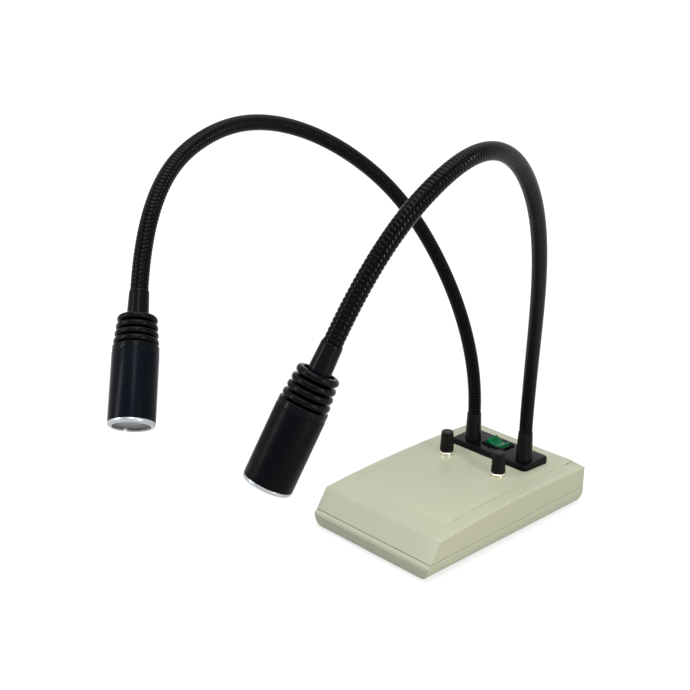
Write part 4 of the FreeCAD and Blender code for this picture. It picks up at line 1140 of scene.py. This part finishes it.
@dataclass
class Dimmer:
    """Fluted black knob over a bright ring nut."""

    side: Side
    x: float = 26.0 * MM
    y: float = 21.0 * MM
    seat: float = 35.4 * MM
    ring_height: float = 3.4
    ring_radius: float = 5.9
    thread_radius: float = 3.6
    height: float = 16.0
    foot_radius: float = 5.5
    top_radius: float = 4.7
    gap: float = 0.4
    bore_radius: float = 3.0
    bore_depth: float = 12.0
    foot_height: float = 0.8
    rim_width: float = 1.2
    dish_inset: float = 1.4
    dish: float = 0.15
    flutes: int = 30
    flute_foot: float = 1.0
    flute_end: float = 1.2
    flute_narrowing: float = 0.945

    def knob(self) -> bpy.types.Object:
        """Model the knob: a turned body with grooves pressed into its side."""
        face = self.height - self.dish
        corners = (
            Corner(self.bore_radius, 0), Corner(self.foot_radius, 0, 0.3),
            Corner(self.foot_radius, self.foot_height), Corner(self.top_radius, self.height, 0.8),
            Corner(self.top_radius - self.rim_width, self.height, 0.2),
            Corner(self.top_radius - self.dish_inset, face), Corner(0, face),
            Corner(0, self.bore_depth), Corner(self.bore_radius, self.bore_depth),
        )
        piece = Bench.turned(f"{self.side.word}_dimmer_cap", corners, self.flutes * 4)
        low, high = self.flute_foot * MM, (self.height - self.flute_end) * MM

        def in_groove(vertex: bmesh.types.BMVert) -> bool:
            """Tell whether a vertex lies on a groove's middle line."""
            column = math.atan2(vertex.co.y, vertex.co.x) / math.tau * self.flutes
            outside = vertex.co.xy.length > (self.bore_radius + 0.5) * MM
            return abs(column - round(column)) < 0.1 and low - NEAR < vertex.co.z < high + NEAR and outside

        with Bench.editing(piece):
            Bench.bisect([((0, 0, low), (0, 0, 1)), ((0, 0, high), (0, 0, 1))])
            Bench.pick(piece, "verts", in_groove)
            bpy.ops.transform.resize(value=(self.flute_narrowing, self.flute_narrowing, 1.0),
                                     center_override=(0, 0, 0))
        return piece

    def ring(self) -> bpy.types.Object:
        """Model the ring nut."""
        corners = (
            Corner(self.thread_radius, 0), Corner(self.ring_radius, 0),
            Corner(self.ring_radius, self.ring_height, 0.8), Corner(self.thread_radius, self.ring_height),
        )
        return Bench.turned(f"{self.side.word}_dimmer_ring", corners, 72)

    def build(self, palette: Palette) -> None:
        """Model, dress and attach the knob and the ring nut."""
        spot = Vector((self.side.value * self.x, self.y, self.seat))
        knob, ring = self.knob(), self.ring()
        Bench.move_into(ring, Matrix.Translation(spot))
        Bench.move_into(knob, Matrix.Translation(spot + Vector((0, 0, (self.ring_height + self.gap) * MM))))
        finish_piece(ring, palette.of(NICKEL), "nickel")
        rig.ride(ring, "base")
        if self.side is Side.LEFT:
            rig.replaces(ring, "knob_nuts")
        finish_piece(knob, palette.of(KNOB_BLACK), "knob_black", 25.0)
        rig.ride(knob, f"{self.side.word}_dimmer_knob")
        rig.replaces(knob, f"{self.side.word}_knob")


@dataclass
class Neck:
    """Flexible neck: a root bush and a spiral hose in bending and stiff stretches."""

    side: Side
    poles: Sequence[Point]
    x: float = 25.8 * MM
    y: float = 52.6 * MM
    plate_top: float = 39.8 * MM
    bush_height: float = 22.3
    bush_foot: float = 6.6
    bush_foot_height: float = 0.9
    bush_waist: float = 6.45
    bush_waist_height: float = 1.1
    bush_mouth: float = 5.5
    bush_bore: float = 5.05
    bush_seat: float = 5.0
    bush_seat_height: float = 8.0
    bend_ribs: int = 24
    link_ribs: tuple[int, ...] = (19, 20, 20, 19)
    crest: float = 5.14 * MM
    groove: float = 4.75 * MM
    wall: float = 0.8 * MM
    flats: int = 26
    ribs_in_bush: int = 3
    ribs_in_sleeve: int = 2

    def bush(self) -> bpy.types.Object:
        """Model the root bush: a tapered sleeve with a rounded foot and mouth."""
        corners = (
            Corner(self.bush_seat, 0), Corner(self.bush_foot, 0, 0.3),
            Corner(self.bush_foot, self.bush_foot_height, 0.3),
            Corner(self.bush_waist, self.bush_waist_height, 0.3),
            Corner(self.bush_mouth, self.bush_height, 0.5), Corner(self.bush_bore, self.bush_height),
            Corner(self.bush_bore, self.bush_seat_height), Corner(self.bush_seat, self.bush_seat_height),
        )
        piece = Bench.turned(f"{self.side.word}_bush", corners, 72)
        Bench.move_into(piece, Matrix.Translation((self.side.value * self.x, self.y, self.plate_top)))
        return piece

    def route(self) -> bpy.types.Object:
        """Draw the neck's centre line as a curve with the poles as its control points."""
        data = bpy.data.curves.new(f"{self.side.word}_route", "CURVE")
        data.dimensions = "3D"
        data.twist_mode = "MINIMUM"
        spline = data.splines.new("NURBS")
        spline.points.add(len(self.poles) - 1)
        for point, pole in zip(spline.points, self.poles):
            point.co = (*(value * MM for value in pole), 1.0)
        spline.order_u = 4
        spline.use_endpoint_u = True
        spline.resolution_u = 80
        curve = bpy.data.objects.new(data.name, data)
        bpy.context.collection.objects.link(curve)
        return curve

    def stretch(self, name: str, curve: bpy.types.Object, start: float, ribs: int,
                pitch: float) -> bpy.types.Object:
        """Model a stretch of spiral hose and lay it along the route.

        Args:
            name: the piece's name.
            curve: the route.
            start: the distance from the root to the stretch's lower end, in metres.
            ribs: how many turns it has.
            pitch: the length of a turn, in metres.

        Returns:
            The stretch, in place.
        """
        middle = (self.crest + self.groove) / 2
        profile = (
            (self.groove, 0.0), (middle, 0.04), (self.crest - 0.05 * MM, 0.12), (self.crest, 0.25),
            (self.crest, 0.50), (self.crest - 0.04 * MM, 0.70), (middle + 0.08 * MM, 0.86),
            (self.groove, 0.93), (self.groove, 1.0),
        )
        piece = Bench.trace(name, [(radius, start + (share - 0.5) * pitch) for radius, share in profile])
        Bench.modify(piece, "SCREW", axis="Z", angle=math.tau, screw_offset=pitch, iterations=ribs,
                     steps=self.flats, render_steps=self.flats, use_merge_vertices=True,
                     merge_threshold=1e-7, use_smooth_shade=True)
        with Bench.editing(piece):
            bpy.ops.mesh.select_all(action="SELECT")
            bpy.ops.mesh.remove_doubles(threshold=2e-6)
            bpy.ops.mesh.normals_make_consistent(inside=False)
        Bench.modify(piece, "SOLIDIFY", thickness=self.wall, offset=-1.0)
        Bench.modify(piece, "CURVE", object=curve, deform_axis="POS_Z")
        return piece

    def stations(self, curve: bpy.types.Object) -> Callable[[float], Vector]:
        """Return a function that gives the point of the route at a distance from the root."""
        line = bpy.data.meshes.new_from_object(curve)
        points = [vertex.co.copy() for vertex in line.vertices]
        bpy.data.meshes.remove(line)

        def point_at(distance: float) -> Vector:
            """Walk along the line."""
            left = distance
            for here, there in zip(points, points[1:]):
                length = (there - here).length
                if left <= length:
                    return here.lerp(there, left / length)
                left -= length
            return points[-1]

        return point_at

    def build(self, palette: Palette) -> None:
        """Model, dress and attach the bush and every stretch of hose."""
        word = self.side.word
        bush = self.bush()
        finish_piece(bush, palette.of(BUSH_BLACK), "bush_black")
        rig.ride(bush, "base")
        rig.replaces(bush, f"{word}_root_bush")
        curve = self.route()
        length = curve.data.splines[0].calc_length()
        total = 5 * self.bend_ribs + sum(self.link_ribs)
        pitch = length / total
        point_at = self.stations(curve)
        bodies = ["base", *(f"{word}_arm_{number}" for number in range(1, 5)), f"{word}_head"]
        first = 0
        for number in range(1, 6):
            before = self.ribs_in_bush if number == 1 else 0
            after = self.ribs_in_sleeve if number == 5 else 0
            start, end = first * pitch, (first + self.bend_ribs) * pitch
            piece = self.stretch(f"{word}_hose_bend_{number}", curve, start - before * pitch,
                                 self.bend_ribs + before + after, pitch)
            finish_piece(piece, palette.of(HOSE_BLACK), "neck_black", 60.0)
            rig.blend(piece, bodies[number - 1], bodies[number], start=point_at(start), end=point_at(end))
            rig.replaces(piece, f"{word}_bend_{number}")
            first += self.bend_ribs
            if number < 5:
                ribs = self.link_ribs[number - 1]
                piece = self.stretch(f"{word}_hose_link_{number}", curve, first * pitch, ribs, pitch)
                finish_piece(piece, palette.of(HOSE_BLACK), "neck_black", 60.0)
                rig.ride(piece, bodies[number])
                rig.replaces(piece, f"{word}_link_{number}")
                first += ribs
        bpy.data.objects.remove(curve)
        LOG.info("%s neck: %.1f mm long", word, length / MM)


@dataclass
class LampHead:
    """Lamp head on the end of a neck: sleeve, finned cap, barrel, bezel, reflector and lens."""

    side: Side
    origin: Vector
    axis: Vector
    # barrel colour with painted light: a lighter, bluer lit copy on one head and a darker shaded copy on the other
    barrel_colour: Colour
    barrel_roughness: float
    sleeve_bore: float = 5.25
    hose_stop: float = 8.0
    lead_bore: float = 3.2
    core_end: float = 24.0
    sleeve_end: float = 5.6
    sleeve_cap: float = 6.1
    cup: float = 8.3
    cup_depth: float = 1.5
    cap_start: float = 15.6
    first_fin: float = 3.9
    fin: float = 3.4
    fin_gap: float = 0.85
    fins: int = 4
    first_rim: float = 11.15
    rim_step: float = 0.43
    first_fin_rounding: float = 1.8
    fin_rounding: float = 1.4
    core: float = 7.9
    collar: float = 12.85
    collar_length: float = 3.8
    bore: float = 10.4
    back_wall: float = 3.0
    barrel: float = 13.0
    barrel_length: float = 39.0
    skirt: float = 11.5
    skirt_bore: float = 10.9
    skirt_length: float = 5.0
    bezel: float = 12.9
    bezel_length: float = 2.2
    bezel_rounding: float = 1.4
    opening: float = 10.5
    lip: float = 1.0
    lens: float = 2.2

    @property
    def fins_end(self) -> float:
        """Where the collar begins, in millimetres from the neck's end."""
        return self.cap_start + self.first_fin + (self.fins - 1) * self.fin + self.fins * self.fin_gap

    @property
    def barrel_start(self) -> float:
        """Where the barrel begins, in millimetres from the neck's end."""
        return self.fins_end + self.collar_length

    @property
    def barrel_end(self) -> float:
        """Where the bezel begins, in millimetres from the neck's end."""
        return self.barrel_start + self.barrel_length

    def outlines(self) -> dict[str, tuple[Corner, ...]]:
        """Return the outline of each turned piece."""
        start, end = self.barrel_start, self.barrel_end
        face = end + self.bezel_length
        mouth = end - self.skirt_length
        lens_face = face - self.lip
        lens_back = lens_face - self.lens
        cup_floor = self.cap_start + self.cup_depth
        cap = [Corner(self.sleeve_cap, self.core_end), Corner(self.sleeve_cap, cup_floor),
               Corner(self.cup, cup_floor), Corner(self.cup, self.cap_start, 0.25)]
        low = self.cap_start
        for number in range(self.fins):
            high = low + (self.fin if number else self.first_fin)
            bend = self.fin_rounding if number else self.first_fin_rounding
            rim = self.first_rim + number * self.rim_step
            cap += [Corner(rim, low, bend), Corner(rim, high, bend), Corner(self.core, high, 0.2),
                    Corner(self.core, high + self.fin_gap, 0.2)]
            low = high + self.fin_gap
        cap += [Corner(self.collar, self.fins_end, 0.5), Corner(self.collar, start, 0.2),
                Corner(self.bore, start), Corner(self.bore, start + self.back_wall),
                Corner(self.lead_bore, start + self.back_wall), Corner(self.lead_bore, self.core_end)]
        return {
            "sleeve": (Corner(self.sleeve_bore, 0.2), Corner(self.sleeve_end, 0, 0.15),
                       Corner(self.sleeve_end + 0.05, 1.2, 0.5), Corner(self.sleeve_cap, self.cap_start),
                       Corner(self.sleeve_cap, self.core_end), Corner(self.lead_bore, self.core_end),
                       Corner(self.lead_bore, self.hose_stop), Corner(self.sleeve_bore, self.hose_stop)),
            "finned_cap": tuple(cap),
            "barrel": (Corner(self.bore, start), Corner(self.barrel, start, 0.4),
                       Corner(self.barrel, end, 0.35), Corner(self.skirt, end), Corner(self.skirt, mouth),
                       Corner(self.bore, mouth)),
            "bezel": (Corner(self.skirt_bore, mouth), Corner(self.skirt, mouth), Corner(self.skirt, end),
                      Corner(self.bezel, end, 0.15), Corner(self.bezel, face, self.bezel_rounding),
                      Corner(self.opening, face, 0.25), Corner(self.opening, lens_face),
                      Corner(self.skirt_bore, lens_face)),
            "lens": (Corner(0, lens_back), Corner(self.skirt_bore - 0.05, lens_back),
                     Corner(self.skirt_bore - 0.05, lens_face - 0.02, 0.15), Corner(0, lens_face - 0.02)),
            "reflector": (Corner(3.6, start + 4.8), Corner(6.6, start + 12), Corner(8.6, start + 21),
                          Corner(10.2, lens_back - 0.15), Corner(10.45, lens_back - 0.15),
                          Corner(8.9, start + 21), Corner(6.9, start + 12), Corner(3.9, start + 4.8)),
        }

    def finish_of(self, part: str) -> tuple[Finish, str]:
        """Return a part's finish and the record's slot.

        Args:
            part: the part's name without its side.

        Returns:
            The finish, made for this head's own axis, and the slot's name.
        """
        word, axis, origin = self.side.word, tuple(self.axis), tuple(self.origin)
        turned = {"axis": axis, "centre": origin}
        black = TurnedMetal(f"{word}_cap_black", (0.0015, 0.002, 0.003), 0.26, specular=0.07,
                            grain_depth=0.000003, **turned)
        if part in ("sleeve", "finned_cap"):
            return black, "head_black"
        if part == "barrel":
            satin = TurnedMetal(f"{word}_barrel_satin", self.barrel_colour, self.barrel_roughness,
                                specular=0.05, drift=0.04, gloss_drift=0.03, grain_depth=0.000005, **turned)
            return satin, "barrel_graphite"
        if part == "bezel":
            silver = TurnedMetal(f"{word}_bezel_silver", (0.42, 0.435, 0.45), 0.3, metallic=1.0, drift=0.03,
                                 grain_depth=0.0, ring_depth=0.000006, **turned)
            return silver, "bezel_silver"
        if part == "reflector":
            # The reflector's near-black colour is painted shade: the metallised cone is darkened to stand in for the
            # shade inside the head.
            cone = FacetedReflector(f"{word}_reflector_silver", (0.02, 0.021, 0.02), 0.34, metallic=1.0,
                                    drift=0.03, **turned)
            return cone, "reflector_silver"
        return LENS, "lens_glass"

    def build(self, palette: Palette) -> None:
        """Model, dress and attach every piece of the head."""
        word = self.side.word
        turn = Vector((0, 0, 1)).rotation_difference(self.axis).to_matrix().to_4x4()
        placement = Matrix.Translation(self.origin) @ turn
        names = {"sleeve": "sleeve", "finned_cap": "cooling_cap", "barrel": "lamp_barrel",
                 "bezel": "silver_bezel", "lens": "front_lens", "reflector": "reflector_cone"}
        for part, corners in self.outlines().items():
            piece = Bench.turned(f"{word}_{names[part]}", corners, 128)
            Bench.move_into(piece, placement)
            finish, slot = self.finish_of(part)
            finish_piece(piece, palette.of(finish), slot, 40.0)
            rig.ride(piece, f"{word}_head")
            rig.replaces(piece, f"{word}_{part}")


# The stage

@dataclass
class Studio:
    """Pale floor, soft lamps and the camera at the photograph's viewing angle."""

    azimuth: float = math.radians(45.94)
    elevation: float = math.radians(20.12)
    roll: float = math.radians(0.61)
    origin_right: float = 82.8 * MM
    origin_up: float = -129.4 * MM
    origin_ahead: float = 928.5 * MM
    pad: float = 1.5 * MM
    image: float = 690.0
    focal_pixels: float = 1200.0
    sensor: float = 36.0
    fill: float = 0.2
    floor_glow: float = 0.74
    shadow_reach: float = 0.35

    def camera(self) -> None:
        """Place the camera from its angles and the shell's origin as the camera sees it."""
        sin_a, cos_a = math.sin(self.azimuth), math.cos(self.azimuth)
        sin_e, cos_e = math.sin(self.elevation), math.cos(self.elevation)
        back = Vector((sin_a * cos_e, -cos_a * cos_e, sin_e))
        right = (-back).cross(Vector((0, 0, 1))).normalized()
        up = right.cross(-back)
        rolled_right = right * math.cos(self.roll) + up * math.sin(self.roll)
        rolled_up = up * math.cos(self.roll) - right * math.sin(self.roll)
        place = (-rolled_right * self.origin_right - rolled_up * self.origin_up + back * self.origin_ahead)
        place.z += self.pad
        data = bpy.data.cameras.new("camera")
        data.sensor_width = self.sensor
        data.lens = self.sensor * self.focal_pixels / self.image
        data.clip_start = 0.01
        camera = bpy.data.objects.new("camera", data)
        bpy.context.collection.objects.link(camera)
        axes = Matrix((rolled_right, rolled_up, back)).transposed().to_4x4()
        camera.matrix_world = Matrix.Translation(place) @ axes
        bpy.context.scene.camera = camera

    def lamp(self, name: str, place: Point, aim: Point, size: tuple[float, float], watts: float,
             tint: Colour) -> None:
        """Add a rectangular soft lamp.

        Args:
            name: the lamp's name.
            place: where it hangs.
            aim: the point that it looks at.
            size: its width and height, in metres.
            watts: its power.
            tint: its colour.
        """
        data = bpy.data.lights.new(name, "AREA")
        data.shape = "RECTANGLE"
        data.size, data.size_y = size
        data.energy = watts
        data.color = tint
        lamp = bpy.data.objects.new(name, data)
        bpy.context.collection.objects.link(lamp)
        lamp.location = place
        lamp.rotation_euler = (Vector(aim) - Vector(place)).to_track_quat("-Z", "Y").to_euler()

    def floor(self) -> None:
        """Lay a wide pale floor that shows white to the camera and keeps the shadow."""
        Bench.clear()
        bpy.ops.mesh.primitive_plane_add(size=12.0, location=(0, 0, 0))
        floor = Bench.settle("studio_floor")
        graph = Graph("floor_white")
        graph.shade(Base_Color=(0.32, 0.32, 0.32), Roughness=0.9, Specular_IOR_Level=0.1)
        path = graph.tree.nodes.new("ShaderNodeLightPath")
        seen = (Wire(graph, path.outputs["Is Camera Ray"]) + Wire(graph, path.outputs["Is Glossy Ray"])
                + Wire(graph, path.outputs["Is Transmission Ray"])).clamped()
        away = graph.node("ShaderNodeVectorMath", {"operation": "LENGTH"}, {0: graph.place}, "Value")
        far = ((away - self.shadow_reach) / self.shadow_reach).clamped()
        graph.shade(Emission_Color=graph.mix(seen, (0.0, 0.0, 0.0), (1.0, 1.0, 1.0)),
                    Emission_Strength=far * (1.0 - self.floor_glow) + self.floor_glow)
        floor.data.materials.append(graph.material)
        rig.stage(floor)

    def world(self) -> None:
        """Fill light from all round, and white where the camera or a reflection looks past the floor."""
        world = bpy.data.worlds.new("studio_world")
        bpy.context.scene.world = world
        world.use_nodes = True
        tree = world.node_tree
        tree.nodes.clear()
        path = tree.nodes.new("ShaderNodeLightPath")
        fill, white = (tree.nodes.new("ShaderNodeBackground") for _ in range(2))
        for background, strength in ((fill, self.fill), (white, 1.0)):
            background.inputs["Color"].default_value = (1.0, 1.0, 1.0, 1.0)
            background.inputs["Strength"].default_value = strength
        seen: bpy.types.NodeSocket = path.outputs["Is Camera Ray"]
        for name in ("Is Glossy Ray", "Is Transmission Ray"):
            either = tree.nodes.new("ShaderNodeMath")
            either.operation = "MAXIMUM"
            tree.links.new(seen, either.inputs[0])
            tree.links.new(path.outputs[name], either.inputs[1])
            seen = either.outputs[0]
        mix = tree.nodes.new("ShaderNodeMixShader")
        output = tree.nodes.new("ShaderNodeOutputWorld")
        tree.links.new(seen, mix.inputs[0])
        tree.links.new(fill.outputs[0], mix.inputs[1])
        tree.links.new(white.outputs[0], mix.inputs[2])
        tree.links.new(mix.outputs[0], output.inputs[0])

    def build(self) -> None:
        """Set up the camera, lamps, floor and world."""
        self.camera()
        centre = (0.0, -0.08, 0.12)
        heads = (0.08, -0.29, 0.2)
        self.lamp("overhead", (0.1, -0.1, 1.5), centre, (1.1, 1.1), 14.5, (1.0, 0.995, 0.985))
        self.lamp("above_camera", (0.8, -0.74, 1.45), heads, (0.22, 0.5), 4.5, (0.85, 0.92, 1.0))
        self.lamp("strip_right", (1.2, -0.2, 0.4), heads, (0.07, 0.7), 9.0, (1.0, 0.985, 0.92))
        self.lamp("strip_front", (-0.5, -1.3, 0.7), heads, (0.14, 0.8), 7.0, (0.9, 0.95, 1.0))
        self.floor()
        self.world()
        bpy.context.scene.view_settings.view_transform = "Standard"


LEFT_ROUTE: tuple[Point, ...] = (
    (-25.8, 52.6, 62.1), (-25.8, 52.6, 114.0), (-39.5, 12.0, 215.0), (-53.0, -53.5, 280.0),
    (-56.5, -128.0, 314.0), (-47.0, -197.5, 314.0), (-28.5, -250.0, 286.0), (-1.7, -275.3, 239.0),
)
RIGHT_ROUTE: tuple[Point, ...] = (
    (25.8, 52.6, 62.1), (25.8, 52.6, 105.5), (83.0, -16.0, 222.0), (121.0, -85.5, 297.5),
    (144.5, -149.5, 329.0), (153.0, -204.0, 319.5), (149.5, -244.0, 284.5), (142.6, -263.2, 244.0),
)


def dress_frame(palette: Palette) -> None:
    """Give every carried-over node its own finish.

    Args:
        palette: the finishes.
    """
    finishes = {name: finish for finish, names in HIDDEN_FINISHES.items() for name in names}
    for name, node in frame["nodes"].items():
        finish = finishes.get(name, SWITCH_BLACK)
        node.data.materials.clear()
        node.data.materials.append(palette.of(finish))
        LOG.info("%s keeps its shape, finish %s", name, finish.name)


def main() -> None:
    """Build the object's pieces in order, then the stage."""
    logging.basicConfig(level=logging.INFO, format="%(message)s")
    palette = Palette()
    dress_frame(palette)
    Case().build(palette)
    ControlPlate().build(palette)
    RockerSwitch().build(palette)
    # Each barrel's colour holds painted light: the left barrel gets a lighter, bluer colour as a lit copy and the
    # right a darker one as a shaded copy of the same finish.
    looks = {
        Side.LEFT: (LEFT_ROUTE, (0.0018, 0.003, 0.0065), 0.26),
        Side.RIGHT: (RIGHT_ROUTE, (0.001, 0.0012, 0.0022), 0.36),
    }
    for side, (route, colour, roughness) in looks.items():
        Dimmer(side).build(palette)
        Neck(side, route).build(palette)
        end, before = Vector(route[-1]), Vector(route[-2])
        LampHead(side, end * MM, (end - before).normalized(), colour, roughness).build(palette)
    Studio().build()
    with open("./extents.json", "w", encoding="utf-8") as sizes:
        json.dump({
            "cad": [[float(value) for value in corner] for corner in CAD_BOX],
            "visual": [[float(value) for value in corner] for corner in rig.bounds()],
        }, sizes)


if __name__ == "__main__":
    main()
